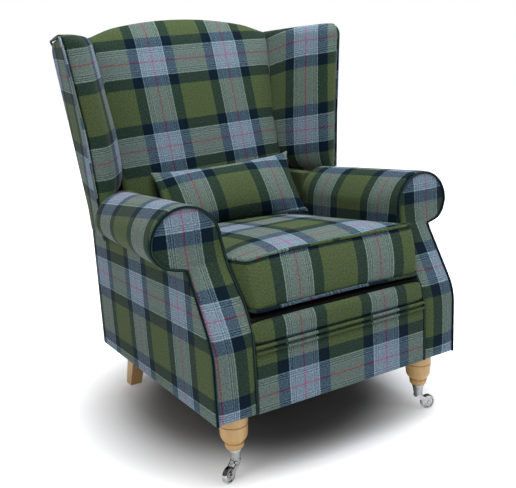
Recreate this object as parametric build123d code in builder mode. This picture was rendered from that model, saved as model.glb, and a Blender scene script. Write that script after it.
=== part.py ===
"""Fireside chair: a wing armchair on two turned front legs with cup castors and two raked back legs.

Millimetres. +Z is up, the chair faces -Y, and the origin lies on the floor under the middle of the
chair's bounding box. "right" is +X, the chair's left hand side for someone who sits in it.
"""
from build123d import *
from math import cos, radians, sin, sqrt, tan
import os

# ---------------------------------------------------------------- driving dimensions
# whole chair
overall_depth = 836.0
crest_height = 1058.0

# body
body_half_width = 349.0
base_front_height = 167.0
base_rear_height = 150.0
panel_thickness = 4.0
back_overhang = 133.0
dust_cover_thickness = 1.0

# frame timber
rail_thickness = 25.0
front_rail_setback = 8.0
side_rail_ramp = 45.0
rail_lift = 2.0
post_width = 60.0
arm_post_thickness = 30.0
arm_rail_top = 550.0
arm_rail_height = 45.0
back_post_thickness = 45.0
back_post_width = 57.0
post_top_drop = 93.0
timber_depth = 30.0
crest_rail_height = 60.0
crest_padding = 28.0
stay_rail_height = 425.0
stay_rail_width = 50.0
block_leg = 76.0
block_height = 60.0
block_lift = 1.5

# seat
seat_inner_half_width = 243.0
seat_slope = 5.0
deck_front_height = 388.0
deck_setback = 88.0
deck_thickness = 12.0
deck_rear_gap = 1.0
webbing_width = 50.0
webbing_thickness = 2.0
seat_strap_count = 5
cross_strap_count = 4
back_strap_count = 5
back_strap_margin = 60.0
strap_landing = 22.0

# arms
arm_top_height = 627.0
arm_rear_top_height = 607.0
arm_roll_radius = 82.0
arm_rear_radius = 72.0
arm_roll_x = 338.0
arm_rear_x = 322.0
arm_roll_end = 173.0
arm_seam_height = 490.0
arm_foam_depth = 47.0
arm_swell = 9.0
arm_swell_rise = 70.0
arm_swell_height = 370.0
facing_thickness = 16.0
facing_swell_height = 410.0
facing_lean = 31.0
facing_bend_radius = 130.0
facing_bend_start = 300.0
facing_setback = 104.0
piping_radius = 3.5
piping_clearance = 0.4

# front border
border_seam_height = 321.0
double_piping_pitch = 13.0
double_piping_radius = 4.0
roll_top_setback = 52.0
roll_brow_setback = 21.0
roll_brow_rise = 46.0

# back and wings
back_rake = 13.5
back_depth = 84.0
back_bottom_height = 352.0
crest_round = 26.0
crest_hump = 46.0
crest_fall = 19.0
crest_arc_half = 205.0
crest_end_slope = -0.1
outside_back_drop = 14.0
outside_back_low = 80.0
panel_gap = 0.3
wing_drop = 55.0
wing_mid_height = 760.0
wing_root_x = 261.0
wing_root_top_x = 288.0
wing_bottom_height = 609.0
wing_lip = 62.0
wing_nose = 22.0
wing_nose_depth = 8.0
wing_swell = 5.0
wing_top_round = 18.0
wing_corner_radius = 28.0
wing_board = 20.0
wing_board_setback = 30.0

# loose cushions
cushion_thickness = 115.0
cushion_crown = 20.0
cushion_setback = 19.0
cushion_front_lean = 23.0
cushion_half_width = 239.0
cushion_corner_radius = 24.0
cushion_side_radius = 2500.0
cushion_pull = 5.0
cushion_gap = 0.3
seam_clearance = 1.0
cushion_back_gap = 2.0
scatter_width = 420.0
scatter_height = 198.0
scatter_thickness = 100.0
scatter_pull = 9.0
scatter_yaw = -12.0
scatter_roll = 3.5
scatter_lean = 36.0
scatter_x = 12.0
scatter_setback = 159.0
scatter_rise = 82.0

# legs and castors
front_leg_x = 279.0
front_leg_setback = 64.0
leg_radius = 33.5
rear_leg_foot = 34.0
rear_leg_top = 46.0
rear_leg_foot_x = 268.0
rear_leg_foot_back = 4.0
rear_leg_top_x = 262.0
rear_leg_top_in = 52.0
bolt_radius = 4.0
bolt_length = 84.0
bolt_sink = 8.0
leg_gap = 0.2
cup_bottom = 44.5
cup_top = 74.0
cup_bottom_radius = 10.8
cup_top_radius = 15.1
cup_rim = 0.9
cup_wall = 1.2
cup_base = 12.0
wheel_radius = 19.0
wheel_width = 13.0
wheel_trail = 27.0
wheel_dish = 2.3
axle_radius = 3.0
axle_head = 1.6
spindle_radius = 4.0
spindle_length = 10.0
running_clearance = 0.05
castor_gap = 0.3
crown_thickness = 4.5
cheek_gap = 0.8
cheek_thickness = 2.5
castor_angle = {"left": -157.0, "right": -15.0}

# ---------------------------------------------------------------- places worked out from them
# front to back
front_y = -overall_depth / 2
facing_y = front_y + 6.0
front_leg_y = front_y + front_leg_setback
deck_front_y = front_y + deck_setback
front_roll_top_y = front_y + roll_top_setback
roll_brow_y = front_y + roll_brow_setback
cushion_front_y = front_y + cushion_setback
rear_panel_y = overall_depth / 2 - back_overhang
arm_roll_rear_y = rear_panel_y - arm_roll_end
scatter_y = rear_panel_y - scatter_setback
rear_leg_top_y = rear_panel_y - rear_leg_top_in
rear_leg_foot_y = rear_panel_y + rear_leg_foot_back

# upwards
post_top = crest_height - post_top_drop
wing_top_height = crest_height - wing_drop

# slopes
rake_tan = tan(radians(back_rake))
rake_cos = cos(radians(back_rake))
rake_sin = sin(radians(back_rake))
slope_tan = tan(radians(seat_slope))
lean_tan = tan(radians(facing_lean))
lean_sin = sin(radians(facing_lean))
lean_cos = cos(radians(facing_lean))
wide = 1000.0

# frame boards, from the outside inwards
rail_y = facing_y + facing_thickness
front_rail_y = rail_y + front_rail_setback
border_x = seat_inner_half_width - piping_clearance
rail_bottom = base_front_height + rail_lift
side_rail_x = body_half_width - panel_thickness - rail_thickness
arm_post_x = side_rail_x - post_width
inner_rear_y = rear_panel_y - panel_thickness
back_rail_y = inner_rear_y - rail_thickness
back_post_x = side_rail_x + rail_thickness - back_post_thickness
post_foot_y = inner_rear_y - back_post_width
crest_shoulder = back_post_x


def up(z):
    """Distance up the back's front plane at which its rounded top edge reaches height z."""
    return (z + crest_round * (rake_sin + rake_cos - 1)) / rake_cos


# the top of the outside back touches the end of the overall depth
back_front_y0 = overall_depth / 2 - up(crest_height - outside_back_drop) * rake_sin - back_depth * rake_cos
back_rear_y0 = back_front_y0 + back_depth / rake_cos
knee_height = (rear_panel_y - back_rear_y0) / rake_tan
back_plane = Plane(origin=(0, back_front_y0, 0), x_dir=(1, 0, 0), z_dir=(0, -rake_cos, rake_sin))


def back_front_y(z):
    """Y of the upholstered face of the back at height z."""
    return back_front_y0 + z * rake_tan


def back_rear_y(z):
    """Y of the outside of the back at height z, upright below the knee and raked above it."""
    return max(rear_panel_y, back_rear_y0 + z * rake_tan)


def base_height(y):
    """Height of the underside of the body at depth y."""
    share = (y - facing_y) / (rear_panel_y - facing_y)
    return base_front_height + share * (base_rear_height - base_front_height)


def deck_height(y):
    """Height of the seat deck's top at depth y."""
    return deck_front_height - (y - deck_front_y) * slope_tan


def strap_height(y):
    """Height of the underside of the seat webbing at depth y."""
    return deck_height(y) - deck_thickness - 2 * webbing_thickness


# the wing's outer edge flares outwards on its way up: height, front x, front y, rear x
wing_stations = [
    (arm_seam_height - 2, body_half_width + 26.0, arm_roll_rear_y + 1, body_half_width),
    (wing_mid_height, body_half_width + 45.0, arm_roll_rear_y + 9, body_half_width + 14.0),
    (wing_top_height, body_half_width + 76.0, arm_roll_rear_y + 26, body_half_width + 28.0),
]


def between(value, low, high, at_low, at_high):
    """Straight line between two values."""
    return at_low + (value - low) * (at_high - at_low) / (high - low)


def wing_line(z, column):
    """One column of the wing stations at height z."""
    low, high = (wing_stations[0], wing_stations[1]) if z <= wing_stations[1][0] else wing_stations[1:]
    return between(z, low[0], high[0], low[column], high[column])


def wing_inner_x(z):
    """X of the corner between back and wing at height z."""
    if z <= wing_mid_height:
        return wing_root_x
    return between(z, wing_mid_height, wing_top_height, wing_root_x, wing_root_top_x)


def wing_outer_x(z, y):
    """X of the outer face of the wing at height z and depth y."""
    return between(y, wing_line(z, 2), back_rear_y(z), wing_line(z, 1), wing_line(z, 3))


# the S-shaped front of the arm: upright, leaning back, upright again
bend_rise = facing_bend_radius * lean_sin
bend_run = facing_bend_radius * (1 - lean_cos)
facing_slant = (facing_setback - 2 * bend_run) / lean_sin
slant_start = facing_bend_start + bend_rise
slant_end = slant_start + facing_slant * lean_cos
scroll_height = slant_end + bend_rise
scroll_y = facing_y + facing_setback


def front_line_y(z):
    """Y of the arm's front line at height z."""
    if z <= facing_bend_start:
        return facing_y
    if z <= slant_start:
        return facing_y + facing_bend_radius - sqrt(facing_bend_radius**2 - (z - facing_bend_start) ** 2)
    if z <= slant_end:
        return facing_y + bend_run + (z - slant_start) * lean_tan
    if z <= scroll_height:
        return scroll_y - facing_bend_radius + sqrt(facing_bend_radius**2 - (scroll_height - z) ** 2)
    return scroll_y


def front_curve(shift, low, high):
    """Edges of the arm's front line in side view, moved back by shift, from height low to high."""
    start = Line((facing_y + shift, low), (facing_y + shift, facing_bend_start))
    bend_back = JernArc(start @ 1, (0, 1), facing_bend_radius, -facing_lean)
    slant = Line(bend_back @ 1, (bend_back @ 1) + (bend_back % 1) * facing_slant)
    bend_up = JernArc(slant @ 1, slant % 1, facing_bend_radius, facing_lean)
    Line(bend_up @ 1, (scroll_y + shift, high))


def front_band(near, far, low=0.0, high=700.0):
    """Bar across the chair between two shifts of the arm's front line."""
    with BuildPart() as band:
        with BuildSketch(Plane.YZ.offset(-wide / 2)):
            with BuildLine():
                front_curve(near, low, high)
                front_curve(far, low, high)
                Line((facing_y + near, low), (facing_y + far, low))
                Line((scroll_y + near, high), (scroll_y + far, high))
            make_face()
        extrude(amount=wide)
    return band.part


def side_bar(points, x_low, x_high):
    """Adds a bar with a closed side outline, between two values of X."""
    with BuildSketch(Plane.YZ.offset(x_low)) as outline:
        with BuildLine():
            Polyline(*points, close=True)
        make_face()
    extrude(outline.sketch, amount=x_high - x_low)


class ArmProfile:
    """Front outline of an arm, drawn inset from its outer surface."""

    def __init__(self, inset, roll_x=arm_roll_x, radius=arm_roll_radius, top=arm_top_height, swell=410.0):
        self.middle = top - radius
        self.radius = radius - inset
        self.roll_x = roll_x
        self.seam = arm_seam_height + inset
        self.inner = seat_inner_half_width + inset
        self.outer = body_half_width - inset
        self.swell = swell
        under = self.middle - self.seam
        self.side = (roll_x + self.radius, self.middle)
        self.belly = (roll_x + self.radius * 0.8, self.seam + under * 0.4)
        self.tuck = (roll_x + self.radius * 0.42, self.seam + under * 0.1)
        self.notch = (self.outer, self.seam)

    def inner_points(self, bottom):
        """Points up the inner side of the arm, from bottom to the start of the roll."""
        return [
            (self.inner, bottom),
            (self.inner, self.swell),
            (self.inner + arm_swell, self.swell + arm_swell_rise),
            (self.roll_x - self.radius, self.middle),
        ]

    def face(self, bottom, outer_edge):
        """Adds the closed face from bottom up over the roll and down outer_edge."""
        foot = [self.notch, (outer_edge, self.seam), (outer_edge, bottom)]
        if outer_edge == self.outer:
            foot = foot[1:]
        with BuildLine() as outline:
            Polyline(*self.inner_points(bottom))
            ThreePointArc(
                (self.roll_x - self.radius, self.middle),
                (self.roll_x, self.middle + self.radius),
                self.side,
            )
            ThreePointArc(self.side, self.belly, self.tuck)
            Polyline(self.tuck, *foot, (self.inner, bottom))
        make_face(outline.edges())


def save(part, name):
    """Labels a finished piece and writes it."""
    part.label = name
    export_step(part, f"parts/{name}.step")


def save_pair(part, name):
    """Writes the right-hand piece and its mirror image."""
    with BuildPart() as twin:
        mirror(part, about=Plane.YZ)
    save(part, f"{name}_right")
    save(twin.part, f"{name}_left")


os.makedirs("parts", exist_ok=True)

# ---------------------------------------------------------------- timber frame
# Hardwood boards and posts, glued and screwed: a box of rails for the seat, a post inside each arm
# front, two bent posts and two cross rails for the back, and a board inside each wing.
# the front rail's upper half is set back under the roll, and its ends are cut low, under the lean of
# the facings, where they meet the arm posts
front_rail_rear = front_rail_y + rail_thickness
with BuildPart() as seat_front_rail:
    side_bar(
        [
            (front_rail_y, rail_bottom),
            (front_rail_rear, rail_bottom),
            (front_rail_rear, strap_height(front_rail_rear)),
            (front_rail_y, strap_height(front_rail_y)),
        ],
        -border_x,
        border_x,
    )
    side_bar(
        [
            (rail_y, rail_bottom),
            (front_rail_rear, rail_bottom),
            (front_rail_rear, facing_bend_start),
            (rail_y, facing_bend_start),
        ],
        -arm_post_x,
        arm_post_x,
    )
save(seat_front_rail.part, "seat_front_rail")

back_rail_bottom = base_height(back_rail_y) + rail_lift
with BuildPart() as seat_back_rail:
    side_bar(
        [
            (back_rail_y, back_rail_bottom),
            (inner_rear_y, back_rail_bottom),
            (inner_rear_y, strap_height(inner_rear_y)),
            (back_rail_y, strap_height(back_rail_y)),
        ],
        -back_post_x,
        back_post_x,
    )
save(seat_back_rail.part, "seat_back_rail")

ramp_y = rail_y + side_rail_ramp
with BuildPart() as side_rail:
    side_bar(
        [
            (rail_y, base_height(rail_y) + rail_lift),
            (post_foot_y, base_height(post_foot_y) + rail_lift),
            (post_foot_y, strap_height(post_foot_y) + webbing_thickness),
            (ramp_y, strap_height(ramp_y) + webbing_thickness),
            (rail_y, facing_bend_start),
        ],
        side_rail_x,
        side_rail_x + rail_thickness,
    )
save_pair(side_rail.part, "seat_side_rail")

arm_post_band = front_band(facing_thickness, facing_thickness + arm_post_thickness)
with BuildPart() as arm_post:
    side_bar(
        [(front_y, rail_bottom), (0, rail_bottom), (0, arm_rail_top), (front_y, arm_rail_top)],
        arm_post_x,
        side_rail_x,
    )
    add(arm_post_band, mode=Mode.INTERSECT)
save_pair(arm_post.part, "arm_post")

timber_front_y0 = back_rear_y0 - (panel_thickness + timber_depth) / rake_cos
timber_rear_y0 = back_rear_y0 - panel_thickness / rake_cos
post_rear_y = timber_rear_y0 + knee_height * rake_tan
with BuildPart() as back_post:
    side_bar(
        [
            (post_foot_y, back_rail_bottom),
            (post_foot_y, (post_foot_y - timber_front_y0) / rake_tan),
            (timber_front_y0 + post_top * rake_tan, post_top),
            (timber_rear_y0 + post_top * rake_tan, post_top),
            (post_rear_y, knee_height),
            (post_rear_y, back_rail_bottom),
        ],
        back_post_x,
        back_post_x + back_post_thickness,
    )
save_pair(back_post.part, "back_post")

arm_rail_front = scroll_y + facing_thickness + arm_post_thickness
with BuildPart() as arm_top_rail:
    side_bar(
        [
            (arm_rail_front, arm_rail_top - arm_rail_height),
            (timber_front_y0 + (arm_rail_top - arm_rail_height) * rake_tan, arm_rail_top - arm_rail_height),
            (timber_front_y0 + arm_rail_top * rake_tan, arm_rail_top),
            (arm_rail_front, arm_rail_top),
        ],
        side_rail_x - rail_thickness,
        side_rail_x,
    )
save_pair(arm_top_rail.part, "arm_top_rail")


def crest_line(drop):
    """Edges of the hump along the top of the back, lowered by drop, in the plane of the back."""
    middle = up(crest_height - drop)
    edge = up(crest_height - crest_fall - drop)
    shoulder = up(crest_height - crest_hump - drop)
    slope = -2 * crest_fall / crest_arc_half
    ThreePointArc((-crest_arc_half, edge), (0, middle), (crest_arc_half, edge))
    for side in (-1, 1):
        Spline(
            (side * crest_arc_half, edge),
            (side * crest_shoulder, shoulder),
            tangents=[(side, slope), (side, crest_end_slope)],
        )
    return shoulder


with BuildPart() as back_crest_rail:
    with BuildSketch(back_plane.offset(-(back_depth - panel_thickness - timber_depth))):
        with BuildLine():
            shoulder = crest_line(crest_padding)
            low = shoulder - crest_rail_height
            Polyline(
                (-back_post_x, shoulder),
                (-back_post_x, low),
                (back_post_x, low),
                (back_post_x, shoulder),
            )
        make_face()
    extrude(amount=-timber_depth)
save(back_crest_rail.part, "back_crest_rail")

with BuildPart() as back_stay_rail:
    with BuildSketch(back_plane.offset(-(back_depth - panel_thickness - timber_depth))):
        with Locations((0, stay_rail_height / rake_cos)):
            Rectangle(2 * back_post_x, stay_rail_width)
    extrude(amount=-timber_depth)
save(back_stay_rail.part, "back_stay_rail")


def wing_board_corners(z):
    """Plan corners of the board inside the wing at height z."""
    front = wing_line(z, 2) + wing_board_setback
    rear = timber_front_y0 + z * rake_tan
    outer = panel_thickness + panel_gap
    return [
        (wing_outer_x(z, front) - outer, front),
        (wing_outer_x(z, rear) - outer, rear),
        (back_post_x + back_post_thickness - 13, rear),
        (wing_outer_x(z, front) - outer - wing_board, front),
    ]


with BuildPart() as wing_frame:
    for z in (arm_rail_top, wing_mid_height, post_top):
        with BuildSketch(Plane.XY.offset(z)):
            with BuildLine():
                Polyline(*wing_board_corners(z), close=True)
            make_face()
    loft(ruled=True)
save_pair(wing_frame.part, "wing_frame")

# glue blocks brace the four corners of the seat box and take the leg bolts
block_edges = {
    "front": (side_rail_x, front_rail_rear, 1, base_front_height + block_lift),
    "rear": (back_post_x, back_rail_y, -1, base_height(back_rail_y - block_leg) + block_lift),
}
bolt_spots = {"front": (front_leg_x, front_leg_y), "rear": (rear_leg_top_x, rear_leg_top_y)}
bolt_tops = {name: edges[3] + block_height - bolt_sink for name, edges in block_edges.items()}

with BuildPart() as leg_bolts:
    for name, (x, y) in bolt_spots.items():
        for side in (-1, 1):
            with BuildSketch(Plane.XY.offset(bolt_tops[name] - bolt_length)):
                with Locations((side * x, y)):
                    Circle(bolt_radius)
            extrude(amount=bolt_length)
save(leg_bolts.part, "leg_bolts")

with BuildPart() as corner_blocks:
    for corner_x, corner_y, turn, bottom in block_edges.values():
        for side in (-1, 1):
            with BuildSketch(Plane.XY.offset(bottom)):
                with BuildLine():
                    Polyline(
                        (side * corner_x, corner_y),
                        (side * (corner_x - block_leg), corner_y),
                        (side * corner_x, corner_y + turn * block_leg),
                        close=True,
                    )
                make_face()
            extrude(amount=block_height)
    add(leg_bolts.part, mode=Mode.SUBTRACT)
save(corner_blocks.part, "corner_blocks")

# ---------------------------------------------------------------- suspension
# Elastic webbing is stretched over the seat box and across the back; a felt deck covers the seat's.
with BuildPart() as seat_webbing:
    step = 2 * seat_inner_half_width / (seat_strap_count + 0.6)
    for index in range(seat_strap_count):
        x = (index - (seat_strap_count - 1) / 2) * step
        side_bar(
            [
                (front_rail_y, strap_height(front_rail_y)),
                (inner_rear_y, strap_height(inner_rear_y)),
                (inner_rear_y, strap_height(inner_rear_y) + webbing_thickness),
                (front_rail_y, strap_height(front_rail_y) + webbing_thickness),
            ],
            x - webbing_width / 2,
            x + webbing_width / 2,
        )
    run = (post_foot_y - deck_front_y) / (cross_strap_count + 1)
    for index in range(cross_strap_count):
        y = deck_front_y + run * (index + 1)
        side_bar(
            [
                (y - webbing_width / 2, strap_height(y - webbing_width / 2) + webbing_thickness),
                (y + webbing_width / 2, strap_height(y + webbing_width / 2) + webbing_thickness),
                (y + webbing_width / 2, strap_height(y + webbing_width / 2) + 2 * webbing_thickness),
                (y - webbing_width / 2, strap_height(y - webbing_width / 2) + 2 * webbing_thickness),
            ],
            -side_rail_x - rail_thickness,
            side_rail_x + rail_thickness,
        )
save(seat_webbing.part, "seat_webbing")

with BuildPart() as back_webbing:
    strap_low = stay_rail_height + back_strap_margin
    strap_rise = (post_top - back_strap_margin - strap_low) / (back_strap_count - 1)
    with BuildSketch(back_plane.offset(-(back_depth - panel_thickness - timber_depth))):
        for index in range(back_strap_count):
            with Locations((0, (strap_low + index * strap_rise) / rake_cos)):
                Rectangle(2 * (back_post_x + strap_landing), webbing_width)
    extrude(amount=webbing_thickness)
save(back_webbing.part, "back_webbing")

# the deck runs back until it almost meets the face of the back
deck_meets_back = back_front_y0 + (deck_front_height + deck_front_y * slope_tan) * rake_tan
deck_rear_y = deck_meets_back / (1 + slope_tan * rake_tan) - deck_rear_gap
with BuildPart() as seat_deck:
    side_bar(
        [
            (deck_front_y, deck_height(deck_front_y) - deck_thickness),
            (deck_rear_y, deck_height(deck_rear_y) - deck_thickness),
            (deck_rear_y, deck_height(deck_rear_y)),
            (deck_front_y, deck_height(deck_front_y)),
        ],
        -seat_inner_half_width,
        seat_inner_half_width,
    )
save(seat_deck.part, "seat_deck")

cover_x = side_rail_x + rail_thickness
with BuildPart() as dust_cover:
    side_bar(
        [
            (rail_y, base_height(rail_y)),
            (inner_rear_y, base_height(inner_rear_y)),
            (inner_rear_y, base_height(inner_rear_y) + dust_cover_thickness),
            (rail_y, base_height(rail_y) + dust_cover_thickness),
        ],
        -cover_x,
        cover_x,
    )
    add(leg_bolts.part, mode=Mode.SUBTRACT)
save(dust_cover.part, "dust_cover")

# ---------------------------------------------------------------- back
# The inside back is a foam pad under tartan that wraps over the humped crest rail. The outside back
# is a flat panel from the base to the crest, bent at the knee of the posts.
foam_depth = back_depth - panel_thickness - timber_depth - webbing_thickness
low_s = back_bottom_height / rake_cos
with BuildPart() as back_pad:
    with BuildSketch(back_plane):
        with BuildLine():
            shoulder = crest_line(0)
            sides = [
                (crest_shoulder, shoulder),
                (wing_inner_x(wing_top_height), up(wing_top_height)),
                (wing_root_x, wing_mid_height / rake_cos),
                (wing_root_x, low_s),
            ]
            Polyline(*sides, *[(-x, s) for x, s in reversed(sides)])
        make_face()
    extrude(amount=-foam_depth)
    with BuildSketch(back_plane.offset(-foam_depth)):
        with BuildLine():
            shoulder = crest_line(0)
            lining = crest_line(crest_padding)
            for side in (-1, 1):
                Line((side * crest_shoulder, shoulder), (side * crest_shoulder, lining))
        make_face()
    extrude(amount=-(back_depth - panel_thickness - foam_depth))
    front_rim = [
        edge
        for edge in back_pad.edges()
        if abs(back_plane.to_local_coords(edge.center()).Z) < 0.01
        and back_plane.to_local_coords(edge.center()).Y > up(wing_top_height) + 6
    ]
    fillet(front_rim, radius=crest_round)
save(back_pad.part, "back_pad")


def up_rear(z):
    """Distance up the back's rear plane at height z."""
    return (z + back_depth * rake_sin) / rake_cos


rear_x = body_half_width - panel_thickness
wing_panel_reach = panel_thickness + panel_gap
with BuildPart() as outside_back_panel:
    with BuildSketch(back_plane.offset(-back_depth)):
        with BuildLine():
            shoulder = crest_line(outside_back_drop)
            edge = [
                (crest_shoulder, shoulder),
                (wing_stations[2][3] - wing_panel_reach, up_rear(wing_stations[2][0])),
                (wing_stations[1][3] - wing_panel_reach, up_rear(wing_stations[1][0])),
                (wing_stations[0][3] - wing_panel_reach, up_rear(wing_stations[0][0])),
                (rear_x, up_rear(wing_stations[0][0]) - panel_thickness),
                (rear_x, up_rear(min(knee_height, wing_stations[0][0])) - outside_back_low),
            ]
            Polyline(*edge, *[(-x, s) for x, s in reversed(edge)])
        make_face()
    extrude(amount=panel_thickness)
    with BuildSketch(Plane.XY):
        Rectangle(wide, 2 * wide)
    extrude(amount=knee_height, mode=Mode.SUBTRACT)
    side_bar(
        [
            (inner_rear_y, base_rear_height + 1),
            (rear_panel_y, base_rear_height + 1),
            (rear_panel_y, knee_height),
            (inner_rear_y, knee_height),
        ],
        -rear_x,
        rear_x,
    )
save(outside_back_panel.part, "outside_back_panel")

# ---------------------------------------------------------------- wings
# Each wing is a board padded on its inner side and round its front edge, with a flat outer panel.
def wing_silhouette(front):
    """Bar across the chair with the wing's rounded top corner, from front backwards."""
    with BuildPart() as silhouette:
        with BuildSketch(Plane.YZ.offset(-wide / 2)):
            with BuildLine():
                Polyline(
                    (overall_depth, wing_top_height),
                    (overall_depth, 0),
                    (front - wing_nose - 60, 0),
                    (front - wing_nose - 60, wing_stations[1][0]),
                    (front, wing_top_height - 3 * wing_corner_radius),
                    (front, wing_top_height - wing_corner_radius),
                )
                RadiusArc(
                    (front, wing_top_height - wing_corner_radius),
                    (front + wing_corner_radius, wing_top_height),
                    wing_corner_radius,
                )
                Line((front + wing_corner_radius, wing_top_height), (overall_depth, wing_top_height))
            make_face()
        extrude(amount=wide)
    return silhouette.part


def wing_pad_face(z, inset):
    """Adds the plan section of the wing's padding at height z."""
    outer_x = wing_line(z, 1) - panel_thickness - inset
    outer_y = wing_line(z, 2) + inset
    rear_y = back_rear_y(z) - panel_thickness / rake_cos
    behind_x = wing_line(z, 3) - panel_thickness - 0.2
    inner_x = wing_inner_x(z)
    face_y = back_front_y(z)
    foam_y = face_y + foam_depth / rake_cos
    lip = (outer_x - wing_lip + 2 * inset, outer_y + wing_nose_depth)
    with BuildLine() as outline:
        ThreePointArc((outer_x, outer_y), (outer_x - wing_lip / 2 + inset, outer_y - wing_nose), lip)
        ThreePointArc(
            lip,
            ((lip[0] + inner_x) / 2 - wing_swell, (lip[1] + face_y) / 2 - wing_swell),
            (inner_x, face_y),
        )
        Polyline(
            (inner_x, face_y),
            (inner_x, foam_y),
            (back_post_x, foam_y),
            (back_post_x, rear_y),
            (behind_x, rear_y),
            (outer_x, outer_y),
        )
    make_face(outline.edges())


wing_tip_y = wing_stations[2][2]
wing_pad_cut = wing_silhouette(wing_tip_y - wing_nose / 2)
with BuildPart() as wing_pad:
    levels = [
        (wing_bottom_height, 0.0),
        (wing_mid_height, 0.0),
        ((wing_mid_height + wing_top_height) / 2, 0.0),
        (wing_top_height - wing_top_round, 0.0),
        (wing_top_height, wing_top_round * 0.6),
    ]
    for z, inset in levels:
        with BuildSketch(Plane.XY.offset(z)):
            wing_pad_face(z, inset)
    loft(ruled=True)
    add(wing_pad_cut, mode=Mode.INTERSECT)
    for inside in (back_pad, back_webbing, back_post, wing_frame):
        add(inside.part, mode=Mode.SUBTRACT)
save_pair(wing_pad.part, "wing_pad")

wing_panel_cut = wing_silhouette(wing_tip_y)
with BuildPart() as wing_outer_panel:
    for z, front_x, wing_y, back_x in wing_stations:
        with BuildSketch(Plane.XY.offset(z)):
            with BuildLine():
                Polyline(
                    (front_x, wing_y),
                    (back_x, back_rear_y(z)),
                    (back_x - panel_thickness, back_rear_y(z)),
                    (front_x - panel_thickness, wing_y),
                    close=True,
                )
            make_face()
    loft(ruled=True)
    add(wing_panel_cut, mode=Mode.INTERSECT)
save_pair(wing_outer_panel.part, "wing_outer_panel")

# ---------------------------------------------------------------- arms
# The inside arm is one foam pad from the seat deck up and over the roll. A padded facing with an
# S-shaped front closes it, a flat panel covers the outside, and the facing is edged with piping.
arm_front_cut = front_band(-overall_depth, facing_thickness)
with BuildPart() as below_deck:
    side_bar(
        [
            (-overall_depth, 0),
            (overall_depth, 0),
            (overall_depth, deck_height(overall_depth) - deck_thickness),
            (-overall_depth, deck_height(-overall_depth) - deck_thickness),
        ],
        -wide,
        wide,
    )
arm_inner_edge = seat_inner_half_width + arm_foam_depth
arm_bottom = base_rear_height + 100
arm_profile = ArmProfile(0, swell=arm_swell_height)
arm_rear_profile = ArmProfile(0, arm_rear_x, arm_rear_radius, arm_rear_top_height, arm_swell_height)
head_rear_y = scroll_y + facing_thickness
with BuildPart() as arm_pad:
    for y, profile in (
        (facing_y, arm_profile),
        (head_rear_y, arm_profile),
        (arm_roll_rear_y, arm_rear_profile),
    ):
        with BuildSketch(Plane.XZ.offset(-y)):
            profile.face(arm_bottom, arm_inner_edge)
    loft(ruled=True)
    side_bar(
        [
            (arm_roll_rear_y, arm_bottom),
            (back_front_y(arm_bottom), arm_bottom),
            (back_front_y(wing_bottom_height), wing_bottom_height),
            (arm_roll_rear_y, wing_bottom_height),
        ],
        seat_inner_half_width + arm_swell,
        arm_inner_edge,
    )
    for cutter in (arm_front_cut, below_deck.part, arm_post.part, arm_top_rail.part):
        add(cutter, mode=Mode.SUBTRACT)
save_pair(arm_pad.part, "arm_pad")

facing_inset = 2 * piping_radius + piping_clearance
facing_profile = ArmProfile(facing_inset, swell=facing_swell_height)
with BuildPart() as arm_facing:
    with BuildSketch(Plane.XZ):
        facing_profile.face(base_front_height, facing_profile.outer)
    extrude(amount=overall_depth)
    add(front_band(0, facing_thickness), mode=Mode.INTERSECT)
save_pair(arm_facing.part, "arm_facing")

piping_profile = ArmProfile(piping_radius, swell=facing_swell_height)
bend_reach = facing_bend_radius * tan(radians(facing_lean / 2))
low_bend = facing_bend_start + bend_reach
high_bend = scroll_height - bend_reach


def on_front(x, z):
    """Point of the facing piping's line in front of the arm's front line, its bends left sharp."""
    y = between(min(max(z, low_bend), high_bend), low_bend, high_bend, facing_y, scroll_y)
    return (x, y + piping_radius / 2, z)


def piping_run(points, radii):
    """Adds a round cord along straight runs through points, joined by arcs."""
    with BuildLine() as route:
        FilletPolyline(*points, radius=radii)
    with BuildSketch(Plane(origin=route.line @ 0, z_dir=route.line % 0)) as section:
        Circle(piping_radius)
    sweep(section.sketch, path=route.line)


# up the outer edge, then under and round the scroll in eighths of a turn and down the inner edge
scroll_x, scroll_z, scroll_r = piping_profile.roll_x, piping_profile.middle, piping_profile.radius
eighth = tan(radians(22.5))
side_run = [on_front(piping_profile.outer, z) for z in (base_front_height, low_bend)]
side_run.append(on_front(*piping_profile.notch))
scroll_run = [on_front(x, z) for x, z in (
    piping_profile.notch,
    piping_profile.tuck,
    (scroll_x + scroll_r, piping_profile.belly[1] - piping_radius),
    (scroll_x + scroll_r, scroll_z + scroll_r * eighth),
    (scroll_x + scroll_r * eighth, scroll_z + scroll_r),
    (scroll_x - scroll_r * eighth, scroll_z + scroll_r),
    (scroll_x - scroll_r, scroll_z + scroll_r * eighth),
    (piping_profile.inner + arm_swell + piping_radius / 2, high_bend),
    (piping_profile.inner, facing_swell_height),
    (piping_profile.inner, low_bend),
    (piping_profile.inner, base_front_height),
)]
curl = scroll_r * 0.9
scroll_bends = [scroll_r * 0.6, scroll_r * 0.38, curl, curl, curl, curl]
inner_bends = [facing_bend_radius * 0.9, 200.0, facing_bend_radius]
with BuildPart() as facing_piping:
    piping_run(side_run, [facing_bend_radius])
    piping_run(scroll_run, scroll_bends + inner_bends)
save_pair(facing_piping.part, "facing_piping")

with BuildPart() as arm_outer_panel:
    side_bar(
        [
            (facing_y, base_height(facing_y)),
            (rear_panel_y, base_height(rear_panel_y)),
            (rear_panel_y, arm_seam_height - 2),
            (facing_y, arm_seam_height - 2),
        ],
        body_half_width - panel_thickness,
        body_half_width,
    )
    add(arm_front_cut, mode=Mode.SUBTRACT)
save_pair(arm_outer_panel.part, "arm_outer_panel")

# the wing's piping climbs the seam between pad and outer panel and turns back along the top
edge_out = piping_radius + piping_clearance


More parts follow.
